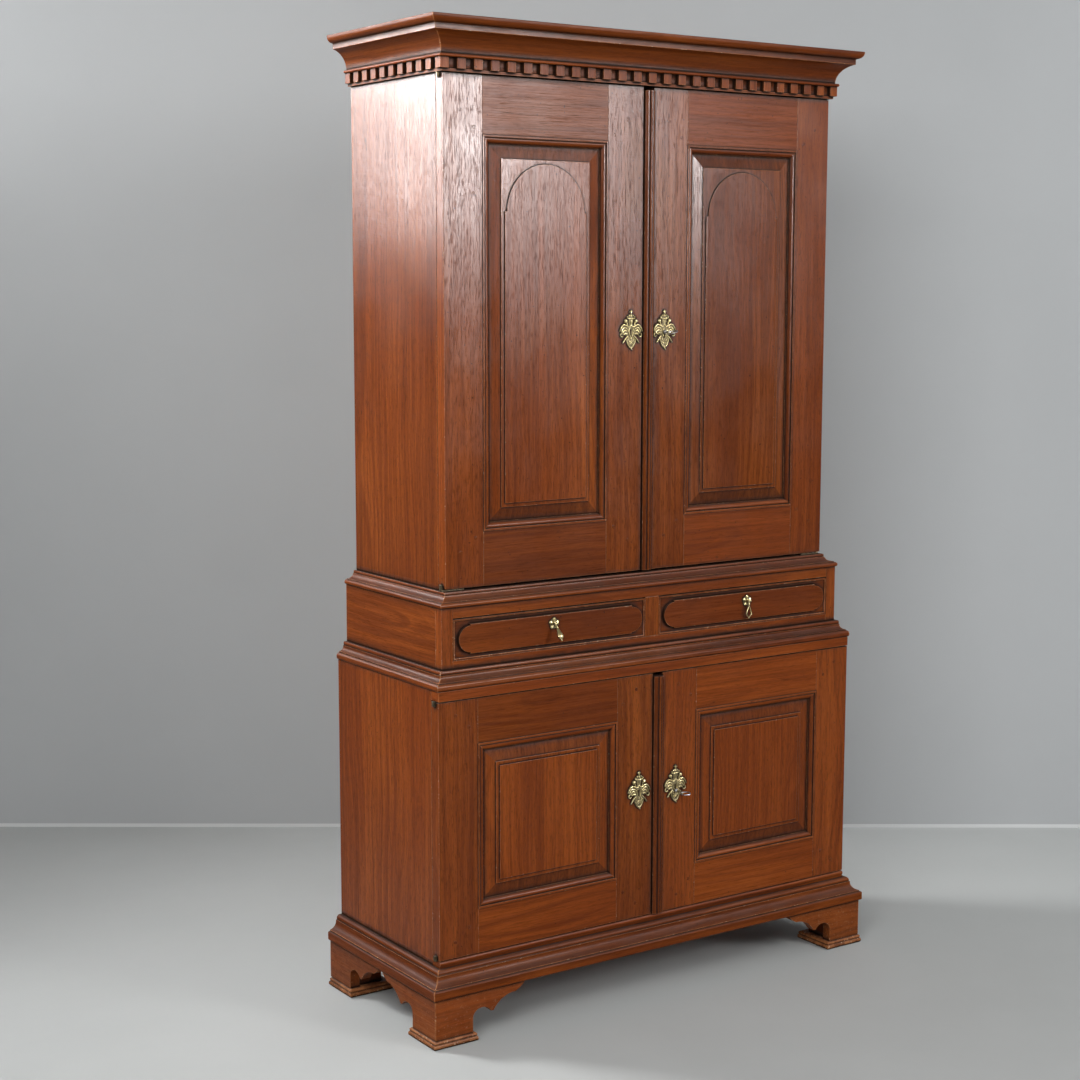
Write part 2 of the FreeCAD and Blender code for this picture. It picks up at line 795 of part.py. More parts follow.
def rectangle_at(door, inset, y):
    """The corners of a rectangle parallel to the panel opening, inset from its edges."""
    x0, x1 = door.open_x0 + inset, door.open_x1 - inset
    z0, z1 = door.open_z0 + inset, door.open_z1 - inset
    return [V(x0, y, z0), V(x1, y, z0), V(x1, y, z1), V(x0, y, z1)]


def door_panel(door):
    """A fielded panel: wide bevel, flat border and a raised field, arched on the upper doors."""
    grow = groove_depth - panel_float
    y = door.face_y + groove_front
    slab = box(
        door.open_x0 - grow, door.open_x1 + grow, y, y + groove_width,
        door.open_z0 - grow, door.open_z1 + grow,
    )
    bevel_in = panel_moulding_width + bevel_width
    bevel_y = y - bevel_rise
    bevel = frustum(rectangle_at(door, panel_moulding_width, y), rectangle_at(door, bevel_in, bevel_y))
    border_y = bevel_y - border_rise
    border = frustum(rectangle_at(door, bevel_in, border_y), rectangle_at(door, bevel_in, bevel_y + 1))
    inset = bevel_in + border_width
    x0, x1 = door.open_x0 + inset, door.open_x1 - inset
    z0, z1 = door.open_z0 + inset, door.open_z1 - inset
    if door.arched:
        radius = (x1 - x0) / 2 - arch_shoulder
        spring_z = door.open_z1 - bevel_in - arch_headroom - radius
        path = [(x0, z0), (x1, z0), (x1, spring_z), (x1 - arch_shoulder, spring_z)]
        path += [(x0 + arch_shoulder, spring_z, radius), (x0, spring_z)]
    else:
        path = [(x0, z0), (x1, z0), (x1, z1), (x0, z1)]
    field = plate(path, border_y - field_rise, field_rise + 1)
    return slab.multiFuse([bevel, border, field]).removeSplitter()


def panel_moulding(door):
    """Four mitred lengths around the panel, against the frame's inner edges."""
    width = panel_moulding_width
    depth = groove_front
    proud = panel_moulding_proud
    section = [
        (0, 0),
        (0, depth + proud),
        (4.0, depth + proud),
        (4.0, depth - 0.8),
        (5.0, depth - 0.8),
        (width - 1.0, 1.0, -3.0),
        (width, 1.0),
        (width, 0),
    ]
    y = door.face_y + depth
    x0, x1 = door.open_x0, door.open_x1
    z0, z1 = door.open_z0, door.open_z1
    left = outline([(a, b) + tuple(c) for a, b, *c in section], lambda o, up: V(x0 + o, y - up, z0))
    left = left.extrude(V(0, 0, z1 - z0))
    base = outline([(a, b) + tuple(c) for a, b, *c in section], lambda o, up: V(x0, y - up, z0 + o))
    base = base.extrude(V(x1 - x0, 0, 0))
    low_y = y - depth - proud - 1
    deep = depth + proud + 2

    def wedge(corners):
        return plate(corners, low_y, deep)

    left = left.common(wedge([(x0, z0), (x0 + width, z0 + width), (x0 + width, z1 - width), (x0, z1)]))
    base = base.common(wedge([(x0, z0), (x1, z0), (x1 - width, z0 + width), (x0 + width, z0 + width)]))
    centre = V((x0 + x1) / 2, 0, (z0 + z1) / 2)
    right = left.mirror(centre, V(1, 0, 0))
    head = base.mirror(centre, V(0, 0, 1))
    return [left, right, base, head]


def escutcheon_place(door):
    inset = upper_keyhole_inset if door.arched else lower_keyhole_inset
    height = upper_keyhole_height if door.arched else lower_keyhole_height
    return door.x1 - inset, height


def keyhole_place(door):
    """The centre of the round end of a keyhole, where the key turns."""
    x, z = escutcheon_place(door)
    return x, z if door.arched else z - lower_key_drop


def keyhole_path(x, z, slot):
    """A keyhole: a round end, as flats, with a slot that runs up or down from it."""
    way = math.copysign(1, slot)
    side = way * keyhole_slot_width / 2
    first = math.asin(keyhole_slot_width / 2 / keyhole_radius)
    flat = 2 * (math.pi - first) / keyhole_sides
    turns = [first + flat * n for n in range(keyhole_sides + 1)]
    reach = way * keyhole_radius
    round_end = [(x + reach * math.sin(turn), z + reach * math.cos(turn)) for turn in turns]
    return round_end + [(x - side, z + slot), (x + side, z + slot)]


def keyhole_in(door):
    """The outline of a door's keyhole. The lower ones are turned over, slot upwards."""
    x, z = keyhole_place(door)
    if door.arched:
        return keyhole_path(x, z, -keyhole_drop)
    return keyhole_path(x, z, keyhole_drop)


def escutcheon(door, hole):
    """A cast plate: finial, crown, two balls, scrolled wings, legs and shell."""
    x, z = escutcheon_place(door)
    y = door.face_y - escutcheon_thickness
    finial = [(0, 45.5), (5.5, 40.5), (2.4, 36.6)]
    crown = [(6.5, 35.5), (11.3, 31.0), (8.8, 26.8)]
    ball = [(14.0, 26.0), (17.6, 23.6), (18.6, 20.6), (16.6, 17.2), (11.5, 14.2)]
    wing = [(16.0, 15.4), (22.5, 15.8), (26.0, 11.5), (28.6, 5.0), (28.0, -2.5), (22.5, -9.0), (18.0, -10.5)]
    leg = [(20.0, -15.5), (22.0, -22.5), (19.0, -23.5), (15.0, -17.5)]
    shell = [(13.0, -19.0), (11.5, -26.0), (6.5, -32.5), (0, -37.0)]
    half = finial + crown + ball + wing + leg + shell
    path = [(x + across, z + up) for across, up in half]
    path += [(x - across, z + up) for across, up in half[-2:0:-1]]
    body = plate(path, y, escutcheon_thickness)
    bosses = [(0, 31.0, 6.0), (-13.8, 20.8, 4.0), (13.8, 20.8, 4.0), (0, -25.0, 8.0)]
    bosses += [(-20.5, 4.0, 6.5), (20.5, 4.0, 6.5)]
    root = 0.5
    for across, up, radius in bosses:
        centre = V(x + across, y + root, z + up)
        body = body.fuse(boss(centre, radius, radius * 0.55, escutcheon_relief + root, stud_sides))
    return body.cut(plate(hole, y - 5, escutcheon_thickness + 10)).removeSplitter()


def key_passage(door):
    """The keyhole through a stile that has a lock behind it."""
    return plate(keyhole_in(door), door.face_y - 1, door_thickness + 2)


def astragal(door):
    """The moulded strip on the meeting edge, as on a left door: it reaches past the edge
    of the stile and stands proud of the face."""
    x0 = door.x1
    width = astragal_width
    face = astragal_proud
    edge = astragal_edge
    bead = astragal_bead_radius
    middle = width / 2
    depth = door_thickness
    section = [
        (0, 0),
        (0, depth + edge),
        (middle - bead, depth + face - bead, -1.6),
        (middle + bead, depth + face - bead, -bead),
        (width, depth + edge, -1.6),
        (width, 0),
    ]
    y = door.face_y + door_thickness
    top = door.z1 - astragal_top_cut
    shape = outline(section, lambda a, out: V(x0 + a, y - out, door.z0))
    return shape.extrude(V(0, 0, top - door.z0))


def lock_frame(door):
    """The key's axis and the back face of the stile, on a left door."""
    x, z = keyhole_place(door)
    return x, z, door.face_y + door_thickness


def lock_nose_x(door):
    """The end of the lock and of its drawn bolt, just covered by the astragal."""
    return door.x1 + astragal_width - astragal_cover


def lock_case(door):
    """A thin iron case on the back of the stile, open to the wood, with a slot for the bolt
    and a hole that guides the key's tip."""
    x, z, back = lock_frame(door)
    nose_x = lock_nose_x(door)
    x0 = x - lock_tail
    z0, z1 = z - lock_below_key, z + lock_above_key
    w = lock_wall
    shell = box(x0, nose_x, back, back + lock_depth, z0, z1)
    hollow = box(x0 + w, nose_x - w, back - 1, back + lock_depth - w, z0 + w, z1 - w)
    c = bolt_clearance
    slot = box(
        nose_x - 2 * w, nose_x + 1, back + bolt_front_gap - c, back + bolt_front_gap + bolt_thickness + c,
        z + bolt_lift - c, z + bolt_lift + bolt_height + c,
    )
    guide = bore(V(x, back, z), key_shank_radius + key_guide_clearance, lock_depth + 1, V(0, 1, 0))
    return shell.cut(hollow).cut(slot).cut(guide)


def lock_bolt(door):
    """A flat bolt with a notch that the key's bit works in."""
    x, z, back = lock_frame(door)
    nose_x = lock_nose_x(door)
    y0 = back + bolt_front_gap
    tail_x = x - lock_tail + lock_wall + 1.5
    z0 = z + bolt_lift
    bar = box(tail_x, nose_x, y0, y0 + bolt_thickness, z0, z0 + bolt_height)
    notch_x1 = x + bolt_notch_start
    notch_x0 = notch_x1 - bolt_notch_width
    notch = box(notch_x0, notch_x1, y0 - 1, y0 + bolt_thickness + 1, z0 - 1, z0 + bolt_notch_height)
    return bar.cut(notch)


def ring_of_flats(x, y, inset):
    """A level oval of flats, key_bow_wire thick, for a key's bow."""
    turns = [2 * math.pi * (n + 0.5) / key_bow_sides for n in range(key_bow_sides)]
    half_width = key_bow_width / 2 - inset
    half_length = key_bow_length / 2 - inset
    plan = [(x + half_width * math.cos(turn), y + half_length * math.sin(turn)) for turn in turns]
    return prism(plan, 0, key_bow_wire)


def key(door):
    """A key with an oval bow, collar, shank and bit. Its bow and bit lie level."""
    x, z, back = lock_frame(door)
    reach = upper_key_reach if door.arched else lower_key_reach
    tip_y = back + lock_depth - lock_wall / 2
    bow_y = door.face_y - reach + key_bow_length / 2
    neck_y = bow_y + key_bow_length / 2 - key_bow_wire
    shank = rod(V(x, neck_y, z), key_shank_radius, tip_y - neck_y, V(0, 1, 0))
    collar_y = door.face_y - escutcheon_thickness - escutcheon_relief - key_collar_gap
    collar = boss(V(x, collar_y, z), key_collar_radius, key_collar_radius, key_collar_length)
    bow = ring_of_flats(x, bow_y, 0).cut(ring_of_flats(x, bow_y, key_bow_wire))
    bow.translate(V(0, 0, z - key_bow_wire / 2))
    y0 = back + bolt_front_gap - 0.5
    half = key_bit_thickness / 2
    bit = box(x - key_bit_radius, x, y0, y0 + key_bit_length, z - half, z + half)
    return shank.multiFuse([collar, bow, bit]).removeSplitter()


def slide_bolt_y(face_y):
    return face_y + door_thickness + slide_plate_thickness + slide_back_gap + slide_bolt_side / 2


def slide_bolt(door):
    """A square bolt with a thumb knob, drawn down so that the door is free."""
    x = door.x1 - slide_inset
    y = slide_bolt_y(door.face_y)
    z1 = door.case_ceiling - slide_top_gap
    bar = square_bar(x, y, slide_bolt_side, z1 - slide_length, slide_length)
    bar = bar.makeChamfer(slide_nose_chamfer, [edge for edge in bar.Edges if edge.BoundBox.ZMin > z1 - 0.01])
    knob_end = V(x, y + slide_knob_length, z1 - slide_length / 2)
    knob = boss(knob_end, slide_knob_radius, slide_knob_radius, slide_knob_length)
    return bar.fuse(knob)


def slide_bolt_plate(door):
    """The back plate with its two staples, above and below the knob's travel."""
    x = door.x1 - slide_inset
    back = door.face_y + door_thickness
    y = slide_bolt_y(door.face_y)
    z1 = door.case_ceiling - slide_top_gap - slide_plate_drop
    z0 = z1 - slide_plate_height
    half = slide_plate_width / 2
    body = box(x - half, x + half, back, back + slide_plate_thickness, z0, z1)
    hole_side = slide_bolt_side + 2 * slide_clearance
    reach = hole_side / 2 + staple_wall
    for low in (z0 + staple_margin, z1 - staple_height - staple_margin):
        staple = box(x - reach, x + reach, back, y + reach, low, low + staple_height)
        body = body.fuse(staple).cut(square_bar(x, y, hole_side, low - 1, staple_height + 2))
    return body.removeSplitter()


def build_doors():
    for level, door in (("upper", upper), ("lower", lower)):
        stiles, rails = door_frame(door)
        leaves = [door_leaf(door.axis_x, door.axis_y, door.z0, 1)]
        leaves.append(door_leaf(door.axis_x, door.axis_y, door.z1, -1))
        pieces = {
            "panel": [door_panel(door)],
            "panel_moulding": panel_moulding(door),
            "hinge_leaves": leaves,
        }
        left = level + "_left_door_"
        right = level + "_right_door_"
        for kind, solids in pieces.items():
            add(left + kind, *solids)
            add(right + kind, *[mirrored(solid) for solid in solids])
        blind_x, blind_z = escutcheon_place(door)
        blind_hole = keyhole_path(blind_x, blind_z, -keyhole_drop)
        add(left + "escutcheon", escutcheon(door, blind_hole))
        add(right + "escutcheon", mirrored(escutcheon(door, keyhole_in(door))))
        add(left + "frame", *(stiles + rails))
        drilled = [stiles[0], stiles[1].cut(key_passage(door))]
        add(right + "frame", *[mirrored(solid) for solid in drilled + rails])
        add(level + "_astragal", mirrored(astragal(door)))
        add(level + "_lock_case", mirrored(lock_case(door)))
        add(level + "_lock_bolt", mirrored(lock_bolt(door)))
        add(level + "_key", mirrored(key(door)))
        add(level + "_slide_bolt", slide_bolt(door))
        add(level + "_slide_bolt_plate", slide_bolt_plate(door))


def build_case_hinges():
    leaves = []
    for door in (upper, lower):
        foot_leaf = case_leaf(door.axis_x, door.axis_y, door.case_floor, 1, door.bottom_gap)
        head_leaf = case_leaf(door.axis_x, door.axis_y, door.case_ceiling, -1, door_gap)
        leaves += both_sides(foot_leaf) + both_sides(head_leaf)
    add("case_hinge_leaves", *leaves)


# ---- Drawers ------------------------------------------------------------------------


def drawer_front():
    """A front with a sunk margin and a raised field, whose ends are round between
    small shoulders. It is made for the left drawer."""
    half = drawer_pitch_x - muntin_width / 2 - drawer_side_gap
    z0 = drawer_floor_z + drawer_bottom_gap
    z1 = drawer_ceiling_z - drawer_top_gap
    x = -drawer_pitch_x
    y = drawer_face_y
    ground_y = y + drawer_front_recess
    board = box(x - half, x + half, ground_y, y + drawer_front_thickness, z0, z1)
    m = drawer_margin
    slope = m - 2.0
    rim = box(x - half, x + half, y, ground_y, z0, z1)
    corners = []
    for inset, depth in ((slope, y), (m, ground_y)):
        points = [
            V(x - half + inset, depth, z0 + inset),
            V(x + half - inset, depth, z0 + inset),
            V(x + half - inset, depth, z1 - inset),
            V(x - half + inset, depth, z1 - inset),
        ]
        corners.append(points)
    rim = rim.cut(frustum(*corners))
    middle = (z0 + z1) / 2
    length = drawer_field_length / 2
    tall = drawer_field_height / 2
    radius = tall - drawer_field_shoulder
    turn = length - radius
    path = [
        (x - turn, middle - tall),
        (x + turn, middle - tall),
        (x + turn, middle - radius),
        (x + turn, middle + radius, radius),
        (x + turn, middle + tall),
        (x - turn, middle + tall),
        (x - turn, middle + radius),
        (x - turn, middle - radius, radius),
    ]
    field = plate(path, ground_y - drawer_field_rise, drawer_field_rise + 1)
    return board.multiFuse([rim, field]).removeSplitter(), half, z0, middle


def drawer_box(half, z0):
    """Two sides, a back and a bottom, behind the front."""
    x = -drawer_pitch_x
    t = drawer_side_thickness
    y0 = drawer_face_y + drawer_front_thickness
    y1 = back_boards_y - drawer_tail_gap
    z1 = z0 + drawer_side_height
    sides = []
    for edge in (x - half, x + half - t):
        sides.append(box(edge, edge + t, y0, y1, z0, z1))
    floor_z = z0 + drawer_bottom_lift
    floor = box(x - half + t, x + half - t, y0, y1, floor_z, floor_z + drawer_bottom_thickness)
    back = box(x - half + t, x + half - t, y1 - t, y1, floor_z + drawer_bottom_thickness, z1 - 6.0)
    return sides + [floor, back]


def rosette(x, z, y):
    """A domed rosette with a petalled rim, and the slotted post that holds the drop's pin."""
    corners = []
    for n in range(4 * rosette_petals):
        turn = 2 * math.pi * n / (4 * rosette_petals)
        reach = rosette_radius - rosette_notch * (0.0, 0.35, 1.0, 0.35)[n % 4]
        corners.append((x + reach * math.sin(turn), z + reach * math.cos(turn)))
    rim = plate(corners, y - rosette_rim, rosette_rim)
    base = V(x, y, z)
    dome = boss(base, rosette_radius - rosette_notch, post_radius, rosette_dome, 2 * rosette_petals)
    post = boss(base, post_radius, post_radius, post_length)
    body = rim.multiFuse([dome, post])
    half_slot = post_slot / 2
    pivot_y = y - pull_pivot_out
    slot_back = pivot_y + drop_eye_radius + 0.4
    slot_front = y - post_length - 1
    slot_z0, slot_z1 = z - rosette_radius, z + post_radius + 1
    slot = box(x - half_slot, x + half_slot, slot_front, slot_back, slot_z0, slot_z1)
    body = body.cut(slot)
    pin = rod(V(x - post_radius + 0.6, pivot_y, z), pull_pin_radius, 2 * post_radius - 1.2, V(1, 0, 0))
    return body.fuse(pin).removeSplitter()


def pear(x, top_z, belly_z, foot_z, neck, wide):
    """Half of a pear's outline, from the neck down to the foot, for one side."""
    upper_run = top_z - belly_z
    lower_run = belly_z - foot_z
    return [
        (neck, top_z),
        (neck + (wide - neck) * 0.4, belly_z + upper_run * 0.5),
        (wide, belly_z),
        (wide * 0.9, belly_z - lower_run * 0.45),
        (wide * 0.5, belly_z - lower_run * 0.85),
        (0, foot_z),
    ]


def both_flanks(x, half):
    """The closed outline whose right half is given, with its last point on the middle."""
    path = [(x + across, up) for across, up in half]
    return path + [(x - across, up) for across, up in half[::-1] if across > 0]


def drop(x, z, y, pierced):
    """A pear drop that hangs from its eye, solid or as an open loop, with a small ball
    under it."""
    pivot_y = y - pull_pivot_out
    neck_z = z - drop_neck_drop
    belly_z = z - drop_length * 0.7
    ball = drop_tip_radius
    foot_z = z - drop_length + 1.5 * ball
    path_y = pivot_y - drop_thickness / 2
    outer = pear(x, neck_z, belly_z, foot_z, drop_neck_width / 2, drop_width / 2)
    body = plate(both_flanks(x, outer), path_y, drop_thickness)
    tip_y = pivot_y + ball
    tip = boss(V(x, tip_y, foot_z - 0.5 * ball), ball, ball, 2 * ball)
    stem_half = drop_eye_thickness / 2
    stem = box(x - stem_half, x + stem_half, pivot_y - 1.4, pivot_y + 1.4, neck_z - 3.0, z - 1.5)
    eye = rod(V(x - stem_half, pivot_y, z), drop_eye_radius, drop_eye_thickness, V(1, 0, 0))
    if pierced:
        rim = drop_loop_rim
        inner = pear(x, neck_z - 5.0, belly_z, foot_z + 1.3 * rim, 0.4, drop_width / 2 - rim)
        body = body.cut(plate(both_flanks(x, inner), path_y - 1, drop_thickness + 2))
    whole = body.multiFuse([stem, eye, tip])
    bore_start = V(x - drop_eye_thickness, pivot_y, z)
    hole = bore(bore_start, pull_pin_radius + pull_pin_clearance, 2 * drop_eye_thickness, V(1, 0, 0))
    return whole.cut(hole).removeSplitter(), V(x, pivot_y, z)


def build_drawers():
    front, half, z0, middle = drawer_front()
    solids = drawer_box(half, z0)
    x = -drawer_pitch_x
    z = middle + pull_above_middle
    y = drawer_face_y + drawer_front_recess - drawer_field_rise
    plain_drop, pivot = drop(x, z, y, False)
    plain_drop.rotate(pivot, V(1, 0, 0), -left_drop_lean)
    loop_drop, pivot = drop(x, z, y, True)
    add("left_drawer_front", front)
    add("left_drawer_box", *solids)
    add("left_pull_rosette", rosette(x, z, y))
    add("left_pull_drop", plain_drop)
    add("right_drawer_front", mirrored(front))
    add("right_drawer_box", *[mirrored(solid) for solid in solids])
    add("right_pull_rosette", mirrored(rosette(x, z, y)))
    add("right_pull_drop", mirrored(loop_drop))


# ---- Build and export ---------------------------------------------------------------

build_feet()
build_mouldings()
build_cornice()
build_lower_case()
build_drawer_case()
build_upper_case()
build_shelves()
build_doors()
build_case_hinges()
build_drawers()

os.makedirs("parts", exist_ok=True)
for name, solids in nodes.items():
    shape = solids[0] if len(solids) == 1 else Part.makeCompound(solids)
    shape.exportStep("parts/" + name + ".step")
print(len(nodes), "nodes")
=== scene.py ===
import json
import math

import bmesh
import bpy
import numpy as np
from mathutils import Matrix, Vector
from mathutils.bvhtree import BVHTree

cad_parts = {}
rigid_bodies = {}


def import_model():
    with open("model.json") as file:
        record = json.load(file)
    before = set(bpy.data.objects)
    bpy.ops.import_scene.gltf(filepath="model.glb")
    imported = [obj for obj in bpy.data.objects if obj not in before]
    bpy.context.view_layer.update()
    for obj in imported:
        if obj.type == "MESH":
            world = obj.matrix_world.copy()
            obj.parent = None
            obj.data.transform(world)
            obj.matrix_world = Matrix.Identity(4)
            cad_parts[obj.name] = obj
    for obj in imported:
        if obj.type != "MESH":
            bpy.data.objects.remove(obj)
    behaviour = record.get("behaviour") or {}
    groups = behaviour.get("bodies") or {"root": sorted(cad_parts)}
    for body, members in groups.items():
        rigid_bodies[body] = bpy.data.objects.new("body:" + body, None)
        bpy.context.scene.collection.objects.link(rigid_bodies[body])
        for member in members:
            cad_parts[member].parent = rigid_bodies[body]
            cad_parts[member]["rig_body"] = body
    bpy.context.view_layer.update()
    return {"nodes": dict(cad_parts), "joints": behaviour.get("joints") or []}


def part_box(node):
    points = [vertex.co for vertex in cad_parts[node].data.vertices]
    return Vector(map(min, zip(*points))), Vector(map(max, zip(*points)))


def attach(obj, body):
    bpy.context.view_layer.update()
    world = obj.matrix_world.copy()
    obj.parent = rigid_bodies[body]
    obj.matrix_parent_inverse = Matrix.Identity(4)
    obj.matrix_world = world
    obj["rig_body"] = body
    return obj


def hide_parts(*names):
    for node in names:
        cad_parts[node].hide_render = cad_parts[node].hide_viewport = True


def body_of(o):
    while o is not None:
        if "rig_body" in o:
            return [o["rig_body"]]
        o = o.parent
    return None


# The kas cupboard in aged varnished wood and brass, in a plain studio. Boards are softened
# copies of their CAD solids. Castings, drops, keys and pegs are built here.

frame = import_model()
chance = np.random.default_rng(20)

MM = 0.001


# ---- Places that the frame gives, in millimetres ----


def front_of(node):
    """How far forward a CAD node reaches."""
    return round(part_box(node)[0].y / MM, 3)


def joint_place(name):
    """The place that a joint turns about."""
    joint = next(joint for joint in frame["joints"] if joint["name"] == name)
    return [round(value / MM, 3) for value in joint["pos_m"]]


UPPER_FACE_Y = front_of("upper_left_door_frame")
LOWER_FACE_Y = front_of("lower_left_door_frame")
DRAWER_FIELD_Y = front_of("left_drawer_front")
UPPER_KEY_X, _, UPPER_KEY_Z = joint_place("upper_right_door_key_turn")
LOWER_KEY_X, _, LOWER_KEY_Z = joint_place("lower_right_door_key_turn")
PULL_X, PULL_PIVOT_Y, PULL_PIVOT_Z = joint_place("right_drawer_pull_swing")


# ---- Shader building ----


class Graph:
    """The node tree of a material or world, built by short calls that return sockets."""

    def __init__(self, owner):
        owner.use_nodes = True
        self.owner = owner
        self.tree = owner.node_tree
        self.tree.nodes.clear()

    def add(self, kind, inputs=None, **settings):
        node = self.tree.nodes.new(kind)
        for key, value in settings.items():
            setattr(node, key, value)
        for key, value in (inputs or {}).items():
            if isinstance(value, bpy.types.NodeSocket):
                self.tree.links.new(value, node.inputs[key])
            else:
                node.inputs[key].default_value = value
        return node

    def calc(self, operation, a, b=0.0, clamp=False):
        return self.add("ShaderNodeMath", {0: a, 1: b}, operation=operation, use_clamp=clamp).outputs[0]

    def plus(self, a, b, clamp=False):
        return self.calc("ADD", a, b, clamp)

    def less(self, a, b):
        return self.calc("SUBTRACT", a, b)

    def times(self, a, b):
        return self.calc("MULTIPLY", a, b)

    def larger(self, a, b):
        return self.calc("MAXIMUM", a, b)

    def scaled(self, vector, x, y, z):
        inputs = {0: vector, 1: (x, y, z)}
        return self.add("ShaderNodeVectorMath", inputs, operation="MULTIPLY").outputs[0]

    def noise(self, vector, scale=1.0, detail=2.0, rough=0.5, distortion=0.0):
        inputs = {"Vector": vector, "Scale": scale, "Detail": detail}
        inputs.update({"Roughness": rough, "Distortion": distortion})
        return self.add("ShaderNodeTexNoise", inputs).outputs[0]

    def ramp(self, value, low, high, to_low=0.0, to_high=1.0):
        """A smooth step from to_low to to_high as the value goes from low to high."""
        inputs = {0: value, 1: low, 2: high, 3: to_low, 4: to_high}
        return self.add("ShaderNodeMapRange", inputs, interpolation_type="SMOOTHSTEP").outputs[0]

    def mix(self, factor, a, b):
        return self.add("ShaderNodeMix", {0: factor, 6: a, 7: b}, data_type="RGBA").outputs[2]

    def brightened(self, colour, value):
        return self.add("ShaderNodeHueSaturation", {"Color": colour, "Value": value}).outputs[0]

    def attribute(self, name, kind="Fac"):
        return self.add("ShaderNodeAttribute", attribute_name=name).outputs[kind]

    def object_place(self):
        return self.add("ShaderNodeTexCoord").outputs["Object"]

    def occlusion(self, reach, samples=6, inside=False):
        """How open the surface is within this reach in metres, or how thick it is inside."""
        node = self.add("ShaderNodeAmbientOcclusion", {"Distance": reach}, samples=samples, inside=inside)
        return node.outputs["AO"]

    def bump(self, height, strength, distance):
        inputs = {"Height": height, "Strength": strength, "Distance": distance}
        return self.add("ShaderNodeBump", inputs).outputs[0]

    def principled(self, inputs):
        return self.add("ShaderNodeBsdfPrincipled", inputs).outputs[0]

    def finish(self, shader):
        self.add("ShaderNodeOutputMaterial", {"Surface": shader})
        return self.owner


def rgb(red, green, blue):
    return (red, green, blue, 1.0)


# ---- Wood ----

ARRIS_REACH = 0.0018
CREASE_REACH = 0.0055
CAVITY_REACH = 0.012
SHELTER_REACH = 0.060
RINGS_PER_METRE = 150.0
# A pale grey painted on faces that look up: a reflection of the sky, partly dust
DUST_AND_REFLECTION = rgb(0.085, 0.058, 0.050)
CHIPPED = rgb(0.50, 0.36, 0.24)


def board_figure(g, grain, board):
    """Growth rings and streaks, from 0 for dark to 1 for pale, as if each board had its own log."""
    split = g.add("ShaderNodeSeparateXYZ", {0: grain}).outputs
    drift_a = g.less(g.noise(g.scaled(grain, 5, 5, 1.6)), 0.5)
    drift_b = g.less(g.noise(g.scaled(grain, 7, 7, 2.3), distortion=0.4), 0.5)
    across = g.plus(split[0], g.times(drift_a, 0.10))
    through = g.plus(split[1], g.times(drift_b, 0.05))
    radius = g.calc("SQRT", g.plus(g.times(across, across), g.times(through, through)))
    log_place = {0: g.times(radius, RINGS_PER_METRE), 1: board, 2: g.times(split[2], 1.2)}
    rings = g.noise(g.add("ShaderNodeCombineXYZ", log_place).outputs[0], detail=4.0, rough=0.62)
    streaks = g.noise(g.scaled(grain, 110, 110, 2.2), detail=5.0, rough=0.62)
    return g.ramp(g.plus(g.times(rings, 0.55), g.times(streaks, 0.45)), 0.33, 0.68)


def with_dirt_and_painted_shade(g, colour, grime_and_shade, grain, place, open_air):
    """The colour with smudges, dirt and painted shade, which darkens cavities, creases and sheltered places,
    and how much lies in cavities and in creases.
    Faces whose level of painted shade is above 0 are painted darker all over, as shade, and those below 0
    keep less of the painted shade and dirt in their creases."""
    smudge = g.noise(g.scaled(grain, 26, 26, 9.0), detail=5.0, rough=0.75)
    smudge = g.ramp(smudge, 0.66, 0.76, 0.0, 0.6)
    soiled = g.attribute("soiled")
    darkening_kept = g.ramp(soiled, -1.0, 0.0, 0.25, 1.0)
    # Painted shade, partly dirt: darker in sheltered places, cavities and creases, as the occlusion finds
    # them
    shelter = g.ramp(g.occlusion(SHELTER_REACH, samples=4), 0.35, 0.95, 0.50, 0.0)
    cavity = g.ramp(g.occlusion(CAVITY_REACH, samples=5), 0.76, 0.99, 0.90, 0.0)
    blotch = g.noise(place, scale=38.0, detail=3.0)
    cavity = g.times(cavity, g.ramp(blotch, 0.25, 0.6, 0.5, 1.0))
    crease = g.ramp(open_air, 0.70, 0.97, 1.0, 0.0)
    in_crease = g.times(crease, g.times(darkening_kept, 0.95))
    for amount in (smudge, soiled, g.times(shelter, darkening_kept), g.times(cavity, darkening_kept), in_crease):
        colour = g.mix(amount, colour, grime_and_shade)
    return colour, cavity, crease


def pale_upward_patches(g, place):
    """Where faces look up, in patches. There a pale grey is painted, as a reflection of the sky, partly as
    dust.
    """
    facing = g.add("ShaderNodeNewGeometry").outputs["Normal"]
    upward = g.add("ShaderNodeSeparateXYZ", {0: facing}).outputs[2]
    patches = g.noise(place, scale=14.0, detail=4.0)
    return g.times(g.ramp(upward, 0.25, 0.8), g.ramp(patches, 0.3, 0.65, 0.45, 1.0))


def with_wear_and_edge_highlight(g, colour, worn_and_highlit, grime_and_shade, place, open_air):
    """The colour with rubbed and chipped arrises and a few dark pits. The pale rubbed arrises are partly a
    painted highlight along the edges.
    """
    arris = g.ramp(g.occlusion(ARRIS_REACH, inside=True), 0.50, 0.80, 1.0, 0.0)
    arris = g.plus(arris, g.attribute("edge"), clamp=True)
    arris = g.times(arris, g.ramp(open_air, 0.78, 0.97))
    pale_arris_patches = g.ramp(g.noise(place, scale=55.0, detail=4.0, rough=0.65), 0.34, 0.64, 0.22, 0.85)
    chips = g.ramp(g.noise(place, scale=210.0, detail=1.0), 0.66, 0.72)
    pits = g.ramp(g.noise(place, scale=230.0, detail=0.0), 0.845, 0.86)
    # Pale arrises: worn wood and a painted edge highlight
    colour = g.mix(g.times(arris, pale_arris_patches), colour, worn_and_highlit)
    colour = g.mix(g.times(g.times(arris, chips), 0.75), colour, CHIPPED)
    return g.mix(g.times(pits, 0.85), colour, grime_and_shade)


